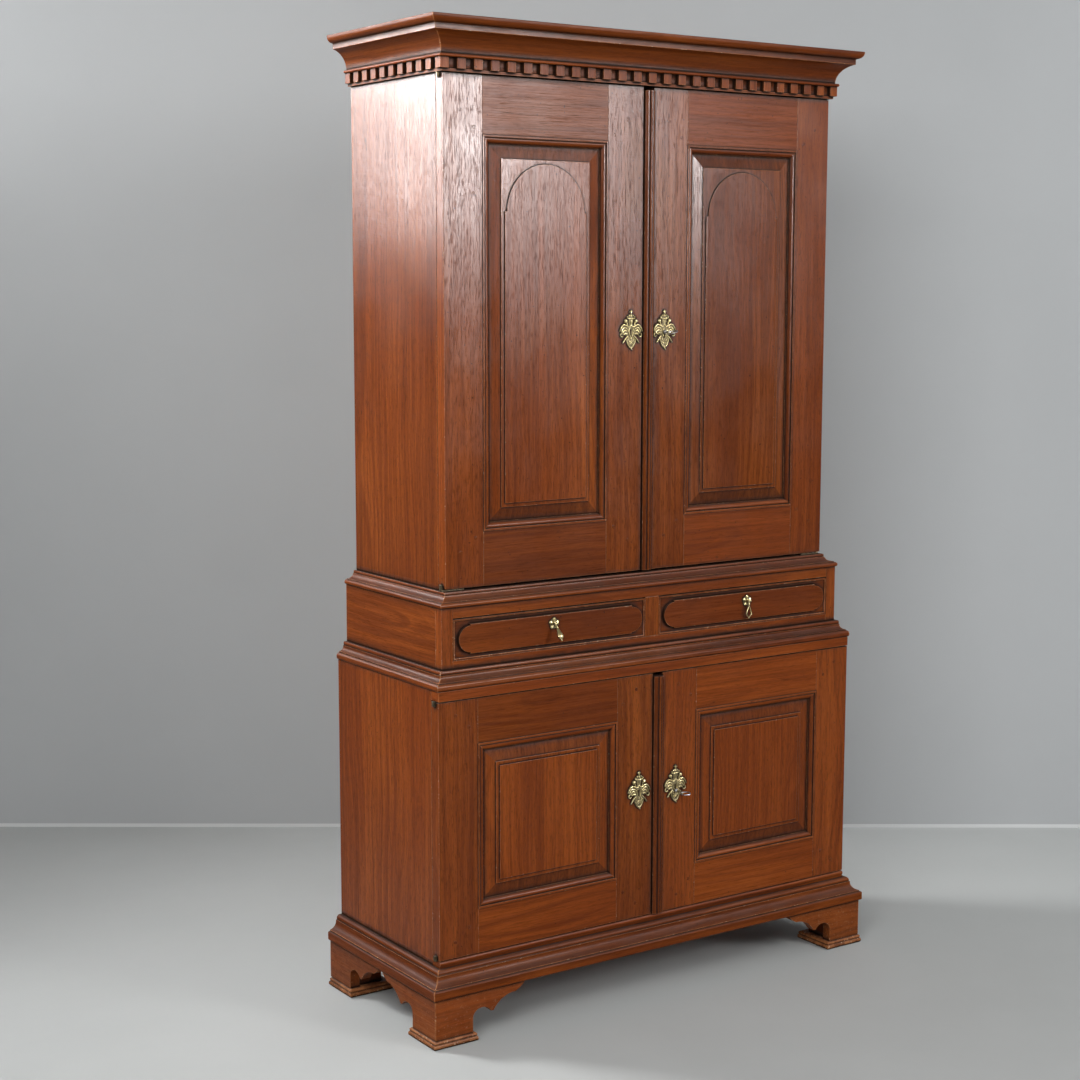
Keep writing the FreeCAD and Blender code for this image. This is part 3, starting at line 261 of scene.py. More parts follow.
def wood(name, pale, middle, dark, worn_and_highlit, grime_and_shade, gloss=1.0, dust_and_reflection_amount=0.35):
    """Old varnished wood. Its figure follows each board's own grain."""
    g = Graph(bpy.data.materials.new(name))
    grain = g.attribute("woodco", "Vector")
    board = g.attribute("board")
    shine = g.attribute("shine")
    place = g.object_place()
    open_air = g.occlusion(CREASE_REACH, samples=8)

    lines = g.noise(g.scaled(grain, 420, 420, 6.0), detail=3.0, rough=0.6)
    flecks = g.noise(g.scaled(grain, 470, 470, 52.0), detail=3.0, rough=0.7, distortion=0.4)
    flecks = g.times(g.ramp(flecks, 0.52, 0.62), g.ramp(shine, 0.5, 1.0, 0.4, 1.0))
    pores = g.ramp(g.noise(g.scaled(grain, 1050, 1050, 26.0), detail=1.0), 0.60, 0.72)
    openings = g.larger(pores, flecks)

    figure = board_figure(g, grain, board)
    stain = g.ramp(g.noise(g.scaled(grain, 4.2, 4.2, 1.1), detail=3.0, rough=0.55), 0.34, 0.68)
    colour = g.mix(figure, dark, middle)
    colour = g.mix(g.times(stain, g.ramp(figure, 0.1, 1.0, 0.25, 0.85)), colour, pale)
    colour = g.mix(g.ramp(lines, 0.30, 0.62, 0.30, 0.0), colour, dark)
    colour = g.mix(g.times(openings, 0.42), colour, grime_and_shade)
    colour = g.brightened(colour, g.ramp(board, 0.0, 1.0, 0.78, 1.16))
    # Dirt, and painted shade in creases, cavities and sheltered places
    colour, cavity, crease = with_dirt_and_painted_shade(g, colour, grime_and_shade, grain, place, open_air)
    # Painted reflection of the sky, partly dust, on faces that look up
    on_upward_faces = pale_upward_patches(g, place)
    colour = g.mix(g.times(on_upward_faces, dust_and_reflection_amount), colour, DUST_AND_REFLECTION)
    # Worn arrises, partly a painted edge highlight, with chips and pits
    colour = with_wear_and_edge_highlight(g, colour, worn_and_highlit, grime_and_shade, place, open_air)

    rough = g.ramp(g.noise(place, scale=9.0, detail=4.0), 0.3, 0.7, 0.20 / gloss, 0.27 / gloss)
    rough = g.plus(rough, g.times(g.plus(cavity, on_upward_faces), 0.12), clamp=True)
    rough = g.plus(rough, g.ramp(shine, 0.3, 0.7, 0.13, 0.0), clamp=True)
    height = g.less(g.times(lines, 0.25), g.times(openings, 0.55))
    height = g.plus(height, g.times(g.noise(place, scale=420.0), 0.12))
    sheen = g.times(g.ramp(lines, 0.34, 0.56, 0.7, 1.1), g.ramp(flecks, 0.0, 1.0, 1.0, 0.3))
    sheen = g.times(sheen, g.ramp(pores, 0.0, 1.0, 0.13 * gloss, 0.05 * gloss))
    sheen = g.times(sheen, g.ramp(crease, 0.0, 0.8, 1.0, 0.12))
    inputs = {
        "Base Color": colour,
        "Roughness": rough,
        "Normal": g.bump(height, strength=g.times(shine, 0.12), distance=0.0005),
        "IOR": 1.5,
        "Specular IOR Level": g.times(sheen, shine),
    }
    return g.finish(g.principled(inputs))


varnished = wood(
    "varnished_wood_finish",
    pale=rgb(0.262, 0.064, 0.0095),
    middle=rgb(0.176, 0.0365, 0.0055),
    dark=rgb(0.098, 0.0195, 0.0038),
    worn_and_highlit=rgb(0.330, 0.130, 0.048),
    grime_and_shade=rgb(0.020, 0.0100, 0.0065),
)
bare = wood(
    "inner_wood_finish",
    pale=rgb(0.360, 0.215, 0.110),
    middle=rgb(0.245, 0.135, 0.064),
    dark=rgb(0.120, 0.062, 0.030),
    worn_and_highlit=rgb(0.46, 0.31, 0.18),
    grime_and_shade=rgb(0.035, 0.024, 0.016),
    gloss=0.6,
    dust_and_reflection_amount=0.2,
)


# ---- Metal ----

HOLLOW_REACH = 0.0028


def metal(name, bright, middle, tarnish, roughness, pitting):
    """Cast or forged metal: bright where it is handled, tarnished in its hollows."""
    g = Graph(bpy.data.materials.new(name))
    place = g.object_place()
    cloud = g.noise(place, scale=160.0, detail=4.0, rough=0.6)
    hollow = g.ramp(g.occlusion(HOLLOW_REACH, samples=8), 0.50, 0.96, 1.0, 0.0)
    hollow = g.larger(hollow, g.attribute("depth"))
    spots = g.ramp(g.noise(place, scale=900.0), 0.60, 0.72)
    colour = g.mix(g.ramp(cloud, 0.35, 0.65), middle, bright)
    colour = g.mix(g.times(hollow, 0.9), colour, tarnish)
    colour = g.mix(g.times(spots, 0.6), colour, tarnish)
    rough = g.ramp(cloud, 0.3, 0.7, roughness * 1.25, roughness * 0.8)
    height = g.plus(cloud, g.noise(place, scale=1400.0))
    inputs = {
        "Base Color": colour,
        "Roughness": g.plus(rough, g.times(hollow, 0.3), clamp=True),
        "Metallic": g.ramp(hollow, 0.2, 1.0, 1.0, 0.55),
        "Normal": g.bump(height, strength=pitting, distance=0.0004),
    }
    return g.finish(g.principled(inputs))


brass = metal(
    "aged_brass_finish",
    bright=rgb(0.50, 0.42, 0.235),
    middle=rgb(0.30, 0.24, 0.108),
    tarnish=rgb(0.045, 0.032, 0.013),
    roughness=0.30,
    pitting=0.35,
)
dull_brass = metal(
    "tarnished_brass_finish",
    bright=rgb(0.13, 0.100, 0.060),
    middle=rgb(0.065, 0.050, 0.032),
    tarnish=rgb(0.025, 0.018, 0.012),
    roughness=0.45,
    pitting=0.5,
)
iron = metal(
    "iron_finish",
    bright=rgb(0.50, 0.49, 0.48),
    middle=rgb(0.25, 0.24, 0.235),
    tarnish=rgb(0.035, 0.026, 0.020),
    roughness=0.27,
    pitting=0.35,
)
dark_iron = metal(
    "dark_iron_finish",
    bright=rgb(0.115, 0.105, 0.097),
    middle=rgb(0.060, 0.054, 0.050),
    tarnish=rgb(0.020, 0.014, 0.010),
    roughness=0.55,
    pitting=0.5,
)


# ---- Boards: softened copies of the CAD solids ----

FLAT_ANGLE = 0.004
LEAST_ARRIS_ANGLE = 0.45
LEAST_SINE = 0.06
ROOM_SHARE = 0.38
STRAIGHT_ON = 0.80
STRAY_SHARE = 0.6


def solids_of(mesh):
    """The closed solids of a CAD node, each as its corners and its triangles."""
    places = np.array([v.co for v in mesh.vertices]).round(6)
    unique, index = np.unique(places, axis=0, return_inverse=True)
    index = index.reshape(-1)
    open_edges, current, solids = set(), [], []
    for polygon in mesh.polygons:
        a, b, c = (int(index[i]) for i in polygon.vertices)
        current.append((a, b, c))
        for edge in ((a, b), (b, c), (c, a)):
            if edge[::-1] in open_edges:
                open_edges.discard(edge[::-1])
            else:
                open_edges.add(edge)
        if not open_edges:
            used = sorted({i for triangle in current for i in triangle})
            renumber = {old: new for new, old in enumerate(used)}
            solids.append((unique[used], [[renumber[i] for i in triangle] for triangle in current]))
            current = []
    return solids


def room_beside(edge, vertex):
    """The length that a bevel may take along the other edges at this vertex, in metres."""
    along = (edge.other_vert(vertex).co - vertex.co).normalized()
    room = 1.0
    for other in vertex.link_edges:
        if other is edge:
            continue
        reach = other.other_vert(vertex).co - vertex.co
        across = along.cross(reach).length
        if reach.length > 1e-9 and across / reach.length > LEAST_SINE:
            room = min(room, across)
    return room


def even_out(weights):
    """Arrises that run on into each other take the smallest of their widths."""
    changed = True
    while changed:
        changed = False
        for edge in weights:
            for vertex in edge.verts:
                along = (edge.other_vert(vertex).co - vertex.co).normalized()
                for other in vertex.link_edges:
                    if other is edge or other not in weights or weights[other] <= weights[edge] * 1.001:
                        continue
                    onward = (vertex.co - other.other_vert(vertex).co).normalized()
                    if along.dot(onward) > STRAIGHT_ON:
                        weights[other] = weights[edge]
                        changed = True


blank = bpy.data.meshes.new("blank")
scratch = bpy.data.objects.new("scratch", blank)
bpy.context.scene.collection.objects.link(scratch)


def baked(mesh, kind, **settings):
    """A new mesh in place of this one, with one modifier applied."""
    scratch.data = mesh
    modifier = scratch.modifiers.new("work", kind)
    for key, value in settings.items():
        setattr(modifier, key, value)
    graph = bpy.context.evaluated_depsgraph_get()
    result = bpy.data.meshes.new_from_object(scratch.evaluated_get(graph))
    scratch.modifiers.clear()
    scratch.data = blank
    bpy.data.meshes.remove(mesh)
    return result


def arris_weights(bm, width, crease):
    """How wide each outer arris may be rounded. Other sharp edges stay sharp."""
    weights = {}
    for edge in bm.edges:
        if len(edge.link_faces) != 2:
            continue
        angle = edge.calc_face_angle_signed(0.0)
        if angle > LEAST_ARRIS_ANGLE:
            room = min(room_beside(edge, vertex) for vertex in edge.verts)
            weights[edge] = min(1.0, ROOM_SHARE * room / width)
        elif abs(angle) > crease:
            edge.smooth = False
    even_out(weights)
    return weights


def softened(corners, triangles, width, crease):
    """One solid with its faces joined up and its arrises rounded over.
    The rounded faces come in the second material slot."""
    bm = bmesh.new()
    vertices = [bm.verts.new(corner) for corner in corners]
    for triangle in triangles:
        bm.faces.new([vertices[i] for i in triangle])
    bmesh.ops.dissolve_limit(bm, angle_limit=FLAT_ANGLE, verts=bm.verts[:], edges=bm.edges[:])
    bm.normal_update()
    layer = bm.edges.layers.float.new("bevel_weight_edge")
    for face in bm.faces:
        face.smooth = True
    weights = arris_weights(bm, width, crease)
    surface = BVHTree.FromBMesh(bm)
    bevel = dict(width=width, segments=2, limit_method="WEIGHT", use_clamp_overlap=False, material=1)
    for share in (1.0, 0.6, 0.3, 0.12):
        for edge, weight in weights.items():
            edge[layer] = weight * share
        mesh = bpy.data.meshes.new("solid")
        bm.to_mesh(mesh)
        mesh.materials.append(varnished)
        mesh.materials.append(bare)
        rounded = baked(mesh, "BEVEL", **bevel)
        stray = max(surface.find_nearest(vertex.co)[3] for vertex in rounded.vertices)
        if stray < STRAY_SHARE * width:
            break
    else:
        for edge in weights:
            edge[layer] = 0.0
            edge.smooth = False
        rounded = bpy.data.meshes.new("solid")
        bm.to_mesh(rounded)
    bm.free()
    return rounded


def face_values(mesh, name, values):
    """A number for each face of a mesh, for its material to read."""
    mesh.attributes.new(name, "FLOAT", "FACE").data.foreach_set("value", values)


def one_value(mesh, name, value):
    """The same number for all the faces of a mesh."""
    face_values(mesh, name, [value] * len(mesh.polygons))


LEAST_SLOPE = 0.03


def slope_shade(face, under, over, upright):
    """Painted shade for a face that looks down, up or straight out. Below 0 the face keeps less of the
    painted shade and dirt in its creases.
    """
    if face.normal.z < -LEAST_SLOPE:
        return under
    if face.normal.z > LEAST_SLOPE:
        return over
    return upright


ALONG_X, ALONG_Z = 0, 2
UPRIGHT_SHINE, LYING_SHINE = 1.0, 0.46


def grain_places(mesh, grain_axis):
    """Each vertex in its board's own frame: across, through and along the grain, in metres,
    and how much the board shines: upright ones the most."""
    places = np.array([v.co for v in mesh.vertices])
    low, high = places.min(0), places.max(0)
    order = list(np.argsort(high - low)[::-1])
    if grain_axis is not None:
        order.remove(grain_axis)
        order.insert(0, grain_axis)
    along, across, through = order
    middle = (low + high) / 2
    pith = chance.uniform([-0.5, 0.035], [0.5, 0.10])
    size = high - low
    columns = [
        places[:, across] - middle[across] + pith[0] * size[across],
        places[:, through] - middle[through] + pith[1],
        places[:, along] + chance.uniform(0, 60),
    ]
    return np.stack(columns, axis=1), UPRIGHT_SHINE if along == ALONG_Z else LYING_SHINE


# A foot's sole is the solid that ends below this height, in metres. Its outline rises in
# pairs of (share of the height, millimetres in from the CAD solid): a bead, a quirk and a hollow
SOLE_LIMIT = 0.03
SOLE_PROFILE = [(0.0, 2.6), (0.05, 1.0), (0.16, 0.1), (0.34, 0.0), (0.47, 0.7), (0.56, 2.4), (0.62, 2.9)]
SOLE_PROFILE += [(0.66, 1.9), (0.76, 1.6), (0.86, 2.4), (0.94, 4.2), (1.0, 6.4)]
SOLE_WEAR, BRACKET_WEAR, BLOCK_WEAR = 0.95, 0.12, 0.0
BLOCK_CORNERS = 8


def is_sole(corners):
    return corners[:, 2].max() < SOLE_LIMIT


def foot_wear(corners):
    """How worn the flat faces of a foot's solid are: the glue block behind it is not."""
    if is_sole(corners):
        return SOLE_WEAR
    return BLOCK_WEAR if len(corners) == BLOCK_CORNERS else BRACKET_WEAR


def moulded_sole(corners):
    """A sole with the same plan and height as the plain one."""
    low, high = corners.min(0), corners.max(0)
    rings = []
    for share, inset in SOLE_PROFILE:
        x0, y0 = low[:2] + inset * MM
        x1, y1 = high[:2] - inset * MM
        z = low[2] + share * (high[2] - low[2])
        rings.append([(x0, y0, z), (x1, y0, z), (x1, y1, z), (x0, y1, z)])
    places = np.array([corner for ring in rings for corner in ring])
    triangles = [[0, 2, 1], [0, 3, 2]]
    for ring in range(len(rings) - 1):
        for n in range(4):
            a, b = 4 * ring + n, 4 * ring + (n + 1) % 4
            triangles += [[a, b, b + 4], [a, b + 4, a + 4]]
    last = 4 * (len(rings) - 1)
    triangles += [[last, last + 1, last + 2], [last, last + 2, last + 3]]
    return places, triangles


def placed(name, mesh, body, slot, *nodes):
    """A piece that moves with a body and stands for CAD nodes, if it is given any."""
    piece = bpy.data.objects.new(name, mesh)
    bpy.context.scene.collection.objects.link(piece)
    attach(piece, body)
    if nodes:
        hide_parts(*nodes)


def dressed(
    node,
    material,
    slot,
    width,
    crease=20.0,
    grain_axis=None,
    tones=(0.25, 1.0),
    foot=False,
    shine=None,
    soiled=None,
):
    """A softened copy of a CAD node, with the grain set for each of its boards.
    The width of its arrises is in millimetres, and the angle of its creases in degrees."""
    joined = bmesh.new()
    for corners, triangles in solids_of(frame["nodes"][node].data):
        flat_wear = foot_wear(corners) if foot else 0.0
        if foot and is_sole(corners):
            corners, triangles = moulded_sole(corners)
        mesh = softened(corners, triangles, width * MM, math.radians(crease))
        grain = mesh.attributes.new("woodco", "FLOAT_VECTOR", "POINT")
        spots, usual_shine = grain_places(mesh, grain_axis)
        grain.data.foreach_set("vector", spots.astype(np.float32).ravel())
        one_value(mesh, "shine", shine or usual_shine)
        face_values(mesh, "edge", [1.0 if face.material_index == 1 else flat_wear for face in mesh.polygons])
        one_value(mesh, "board", float(chance.uniform(*tones)))
        if soiled:
            face_values(mesh, "soiled", [slope_shade(face, *soiled) for face in mesh.polygons])
        for face in mesh.polygons:
            face.material_index = 0
        joined.from_mesh(mesh)
        bpy.data.meshes.remove(mesh)
    name = node + "_dressed"
    whole = bpy.data.meshes.new(name)
    joined.to_mesh(whole)
    joined.free()
    final = baked(whole, "WEIGHTED_NORMAL", keep_sharp=True, mode="FACE_AREA", weight=50)
    final.materials.clear()
    final.materials.append(material)
    final.name = name
    placed(name, final, body_of(frame["nodes"][node])[0], slot, node)


# Painted shade on the door panels' bevels that look down and up. The lower case's rails keep less painted
# shade and dirt in their creases
LIGHTER_CREASES = (-0.9, -0.9, -0.9)
BEVELS_SHADED = (0.45, 0.28, 0.0)


def varnish(node, width, **options):
    dressed(node, varnished, "varnished_wood", width, **options)


for place in ("front_left", "front_right", "rear_left", "rear_right"):
    varnish(place + "_foot", 1.1, foot=True)
varnish("base_moulding", 0.9, tones=(0.0, 0.15), shine=0.35)
for name in ("lower_waist_moulding", "upper_waist_moulding", "cornice_crown"):
    varnish(name, 0.9, tones=(0.15, 0.4))
varnish("cornice_dentil_band", 0.5, tones=(0.6, 1.0), shine=0.3)
for name in ("lower_case_sides", "upper_case_sides", "drawer_case", "drawer_face_frame"):
    varnish(name, 0.9)
varnish("lower_case_door_rails", 0.9, tones=(0.8, 1.0), soiled=LIGHTER_CREASES)
for name in ("lower_case_floor_and_top", "upper_case_floor_and_top"):
    varnish(name, 0.9)
for name in ("lower_case_back", "upper_case_back", "shelves_and_cleats"):
    dressed(name, bare, "inner_wood", 1.2)
for name in ("left_drawer_box", "right_drawer_box"):
    dressed(name, bare, "inner_wood", 0.8)
for name in ("left_drawer_front", "right_drawer_front"):
    varnish(name, 0.7, grain_axis=ALONG_X, tones=(0.2, 0.5))
for door in ("upper_left_door", "upper_right_door", "lower_left_door", "lower_right_door"):
    varnish(door + "_frame", 0.6)
    varnish(door + "_panel", 0.6, crease=4.0, grain_axis=ALONG_Z, shine=0.85, soiled=BEVELS_SHADED)
    varnish(door + "_panel_moulding", 0.5)
    dressed(door + "_hinge_leaves", dull_brass, "aged_brass", 0.3)
dressed("case_hinge_leaves", dull_brass, "aged_brass", 0.3)
for level in ("upper", "lower"):
    varnish(level + "_astragal", 0.5, tones=(0.0, 0.2))
    for part in ("_lock_case", "_lock_bolt", "_slide_bolt", "_slide_bolt_plate"):
        dressed(level + part, dark_iron, "iron", 0.35)


# ---- Cast relief: escutcheons and rosettes ----
# A stroke is a list of (across, up, radius), in millimetres, and the height of its crest.

GRID_STEP = 0.36
CAST_RIM = 1.2
PLATE_BACK_GAP = 0.02
CLEAN_HEIGHT = 1.7
SNAP_ROUNDS = 5
PROBE = 0.05
NOWHERE = 50.0


def strokes_field(x, z, strokes):
    """How far inside the tapered strokes a point lies, and the height of their round tops."""
    cover = np.full(x.shape, -NOWHERE)
    height = np.zeros(x.shape)
    for points, crest in strokes:
        if len(points) == 1:
            points = [points[0], points[0]]
        for (ax, az, ar), (bx, bz, br) in zip(points, points[1:]):
            dx, dz = bx - ax, bz - az
            length = max(dx * dx + dz * dz, 1e-9)
            t = np.clip(((x - ax) * dx + (z - az) * dz) / length, 0, 1)
            radius = ar + (br - ar) * t
            distance = np.hypot(x - ax - t * dx, z - az - t * dz)
            cover = np.maximum(cover, radius - distance)
            share = np.clip(distance / radius, 0, 1)
            height = np.maximum(height, crest * np.sqrt(1 - share**2))
    return cover, height


def mirrored_strokes(strokes):
    return strokes + [([(-x, z, r) for x, z, r in points], crest) for points, crest in strokes]


def cells_around(whole):
    """How many whole cells of a grid meet at each of its points."""
    rows, columns = whole.shape
    count = np.zeros((rows + 1, columns + 1), int)
    for up in (0, 1):
        for across in (0, 1):
            count[up : up + rows, across : across + columns] += whole
    return count


def snapped(x, z, field):
    """Points moved, by less than a cell, to where the field is 0."""
    reach = 0.5 * GRID_STEP
    for _ in range(SNAP_ROUNDS):
        here = field(x, z)
        slope_x = (field(x + PROBE, z) - here) / PROBE
        slope_z = (field(x, z + PROBE) - here) / PROBE
        steep = np.maximum(slope_x**2 + slope_z**2, 0.2)
        x = x - np.clip(here * slope_x / steep, -reach, reach)
        z = z - np.clip(here * slope_z / steep, -reach, reach)
    return x, z


def relief(name, extent, web, strokes, hole, centre, face_y, groove):
    """A cast plate whose front is a height field, with its outline on the field's edge."""
    x0, x1, z0, z1 = extent
    half_step = GRID_STEP / 2
    x, z = np.meshgrid(np.arange(x0, x1 + half_step, GRID_STEP), np.arange(z0, z1 + half_step, GRID_STEP))

    def field(x, z):
        low, _ = strokes_field(x, z, web)
        high, _ = strokes_field(x, z, strokes)
        return np.minimum(np.maximum(low, high), hole(x, z))

    inside = field(x, z) > 0
    whole = inside[:-1, :-1] & inside[1:, :-1] & inside[:-1, 1:] & inside[1:, 1:]
    around = cells_around(whole)
    keep = around > 0
    border = keep & (around < 4)
    x[border], z[border] = snapped(x[border], z[border], field)
    _, web_height = strokes_field(x, z, web)
    _, crest = strokes_field(x, z, strokes)
    out = CAST_RIM + np.maximum(web_height, crest)
    out = np.maximum(out - groove(x, z), CAST_RIM * 0.7)
    out[border] = CAST_RIM

    index = -np.ones(inside.shape, int)
    index[keep] = np.arange(keep.sum())
    places = np.stack([centre[0] + x[keep], face_y - out[keep], centre[1] + z[keep]], axis=1) * MM
    bm = bmesh.new()
    vertices = [bm.verts.new(place) for place in places]
    for row, column in zip(*np.nonzero(whole)):
        lower, upper = index[row : row + 2, column : column + 2]
        corners = (lower[0], lower[1], upper[1], upper[0])
        bm.faces.new([vertices[i] for i in corners]).smooth = True
    rim_edges = [edge for edge in bm.edges if edge.is_boundary]
    made = bmesh.ops.extrude_edge_only(bm, edges=rim_edges)["geom"]
    for vertex in (element for element in made if isinstance(element, bmesh.types.BMVert)):
        vertex.co.y = (face_y - PLATE_BACK_GAP) * MM
    mesh = bpy.data.meshes.new(name)
    bm.to_mesh(mesh)
    bm.free()
    depth = np.ones(len(mesh.vertices), np.float32)
    depth[: keep.sum()] = 1.0 - np.clip((out[keep] - CAST_RIM) / CLEAN_HEIGHT, 0.0, 1.0)
    mesh.attributes.new("depth", "FLOAT", "POINT").data.foreach_set("value", depth)
    return mesh


def slot_hole(x, z, round_z, end_z, radius, half_width):
    """Distance outside a keyhole: a round end with a straight slot."""
    ring = np.hypot(x, z - round_z) - radius
    low, high = min(round_z, end_z), max(round_z, end_z)
    bar = np.maximum(np.abs(x) - half_width, np.maximum(low - z, z - high))
    return np.minimum(ring, bar)


PLATE_EXTENT = (-30.6, 30.6, -38, 47)
PLATE_SPINE = [(0, 31, 6.5), (0, 24, 6.0), (0, 14, 6.5), (0, 4, 9.0)]
PLATE_SPINE += [(0, -6, 9.5), (0, -16, 9.0), (0, -24, 6.5), (0.6, -31, 3.2)]
PLATE_WEB = [
    (PLATE_SPINE, 0.2),
    ([(-20, 8, 4.6), (0, 5, 7.0), (20, 8, 4.6)], 0.2),
    ([(-19, 0, 5.4), (0, -1, 7.0), (19, 0, 5.4)], 0.2),
]
PLATE_MIDDLE = [
    ([(0, 46.0, 0.5), (0, 42.6, 1.9), (0, 37.0, 1.1)], 2.6),
    ([(-4.0, 42.4, 0.7), (0, 42.6, 1.6), (4.0, 42.4, 0.7)], 2.4),
    ([(0, 33.8, 2.5)], 2.8),
    ([(-9.6, 28.6, 1.2), (0, 28.0, 1.4), (9.6, 28.6, 1.2)], 2.2),
    ([(0, 25.0, 1.3), (0, 15.0, 1.2)], 2.2),
    ([(0, -10.8, 1.7), (0, -14.0, 1.2)], 2.3),
    ([(-4.6, -25.2, 0.9), (-3.2, -22.4, 0.9), (0.4, -21.2, 1.0), (3.8, -22.4, 0.9), (5.2, -25.2, 0.9)], 2.6),
    ([(-6.6, -23.4, 0.8), (-4.4, -19.4, 0.8), (0.4, -17.6, 0.9), (5.0, -19.4, 0.8), (7.2, -23.4, 0.8)], 2.2),
    ([(0.4, -31.4, 2.0), (1.6, -34.6, 1.5), (4.0, -35.8, 0.8)], 1.8),
]
OUTER_WING = [(0.8, 15.0, 1.3), (3.6, 11.4, 1.4), (8.0, 11.6, 1.5), (13.2, 14.4, 1.6)]
OUTER_WING += [(18.0, 15.8, 1.7), (22.2, 13.6, 1.7), (26.0, 8.6, 1.4), (28.8, 2.4, 0.8)]
PLATE_HALF = [
    ([(4.9, 34.4, 2.1)], 2.6),
    ([(9.2, 31.6, 2.0)], 2.4),
    ([(3.6, 26.0, 1.1), (3.1, 20.0, 1.0)], 2.0),
    ([(13.4, 23.2, 4.1)], 3.5),
    ([(10.4, 20.0, 1.4), (9.4, 14.6, 1.5)], 1.8),
    (OUTER_WING, 2.8),
    ([(10.2, 7.2, 1.4), (15.2, 9.8, 1.5), (20.0, 8.8, 1.5), (23.4, 4.6, 1.3), (24.8, 0.4, 0.9)], 2.4),
    ([(10.8, 2.4, 1.4), (15.4, 4.6, 1.5), (19.4, 2.4, 1.4), (21.2, -1.6, 1.1)], 2.2),
    ([(25.6, -2.2, 1.1), (27.4, -5.2, 1.2), (25.8, -8.6, 1.2), (22.4, -9.4, 1.1), (20.4, -7.0, 0.9)], 2.2),
    ([(10.0, -2.8, 1.5), (14.6, -2.0, 1.5), (18.0, -4.4, 1.3)], 2.0),
    ([(4.5, 7.8, 1.1), (5.0, 2.0, 1.2), (4.4, -4.0, 1.1), (3.0, -8.4, 1.0)], 2.8),
    ([(7.9, 5.4, 1.4), (7.7, 1.0, 1.3)], 2.4),
    ([(8.6, -8.4, 1.7), (12.6, -11.6, 1.6), (16.8, -16.2, 1.3), (20.2, -21.6, 1.0)], 2.4),
    ([(10.2, -13.4, 1.4), (10.4, -18.4, 1.4), (7.6, -25.2, 1.3), (3.2, -31.4, 1.1)], 2.2),
    ([(6.4, -10.8, 1.3), (6.8, -15.4, 1.1), (4.0, -18.4, 0.9)], 2.3),
]
PLATE_STROKES = PLATE_MIDDLE + mirrored_strokes(PLATE_HALF)


def plate_groove(x, z):
    """Fine veins cut along the wings and the crown."""
    side = np.abs(x)
    on_wings = (side > 12) & (z < 14) & (z > -9)
    on_crown = (z > 28.5) & (z < 36)
    veins = 0.40 * np.clip(np.sin(2.1 * (z + 0.7 * side)) - 0.3, 0, 1) * on_wings
    crown = 0.30 * np.clip(np.sin(3.4 * x) - 0.3, 0, 1) * on_crown
    return veins + crown


def escutcheon(door, centre, face_y, keyhole):
    """A door's plate, with two eyes, a nail hole and a keyhole of its own."""

    def hole(x, z):
        eyes = np.hypot(np.abs(x) - 6.6, (z - 17.6) * 0.6) - 1.45
        nail = np.hypot(x - 0.9, z + 26.6) - 1.1
        return np.minimum(np.minimum(eyes, nail), slot_hole(x, z, **keyhole))

    name = door + "_escutcheon_cast"
    mesh = relief(name, PLATE_EXTENT, PLATE_WEB, PLATE_STROKES, hole, centre, face_y, plate_groove)
    mesh.materials.append(brass)
    placed(name, mesh, door, "aged_brass", door + "_escutcheon")


# An upper plate's centre is level with its key, and a lower one's lies this far above it
LOWER_PLATE_RISE = 9.0
LOWER_PLATE_Z = LOWER_KEY_Z + LOWER_PLATE_RISE
UPPER_BLIND = dict(round_z=4.2, end_z=-7.6, radius=2.2, half_width=1.5)
LOWER_BLIND = dict(round_z=3.4, end_z=-7.6, radius=2.2, half_width=1.5)
UPPER_KEYHOLE = dict(round_z=0.0, end_z=-13.0, radius=3.4, half_width=1.7)
LOWER_KEYHOLE = dict(round_z=-LOWER_PLATE_RISE, end_z=4.5, radius=3.4, half_width=1.7)
escutcheon("upper_left_door", (-UPPER_KEY_X, UPPER_KEY_Z), UPPER_FACE_Y, UPPER_BLIND)
escutcheon("upper_right_door", (UPPER_KEY_X, UPPER_KEY_Z), UPPER_FACE_Y, UPPER_KEYHOLE)
escutcheon("lower_left_door", (-LOWER_KEY_X, LOWER_PLATE_Z), LOWER_FACE_Y, LOWER_BLIND)
escutcheon("lower_right_door", (LOWER_KEY_X, LOWER_PLATE_Z), LOWER_FACE_Y, LOWER_KEYHOLE)


# ---- Turned and bent metal: pulls and keys ----

SHARP_ANGLE = math.radians(38)


def skinned(bm, rings, closed=False):
    """Faces from each ring of vertices to the next."""
    pairs = list(zip(rings, rings[1:]))
    if closed:
        pairs.append((rings[-1], rings[0]))
    for first, second in pairs:
        for n in range(len(first)):
            after = (n + 1) % len(first)
            bm.faces.new([first[n], first[after], second[after], second[n]])


def capped(bm, rings):
    """Faces over the first and the last ring."""
    bm.faces.new(rings[0][::-1])
    bm.faces.new(rings[-1])


def metal_piece(name, bm, material, slot, body, node):
    for face in bm.faces:
        face.smooth = True
    mesh = bpy.data.meshes.new(name)
    bmesh.ops.recalc_face_normals(bm, faces=bm.faces[:])
    bm.to_mesh(mesh)
    bm.free()
    mesh.set_sharp_from_angle(angle=SHARP_ANGLE)
    mesh.materials.append(material)
    placed(name, mesh, body, slot, node)


def moved_to(x, y, z):
    """A shift to a place in millimetres."""
    return Matrix.Translation(Vector((x, y, z)) * MM)


def ring_of(bm, axis, along, radii, flatten=1.0, start=0.5):
    """A ring of vertices round an axis's own Z, one for each radius, in millimetres."""
    ring = []
    for n, radius in enumerate(radii):
        turn = 2 * math.pi * (n + start) / len(radii)
        local = Vector((radius * math.cos(turn), flatten * radius * math.sin(turn), along)) * MM
        ring.append(bm.verts.new(axis @ local))
    return ring


def turned(bm, profile, sides, axis, flatten=1.0):
    """A turned shape: profile pairs are (distance along the axis, radius)."""
    rings = [ring_of(bm, axis, along, [radius] * sides, flatten) for along, radius in profile]
    skinned(bm, rings)
    capped(bm, rings)


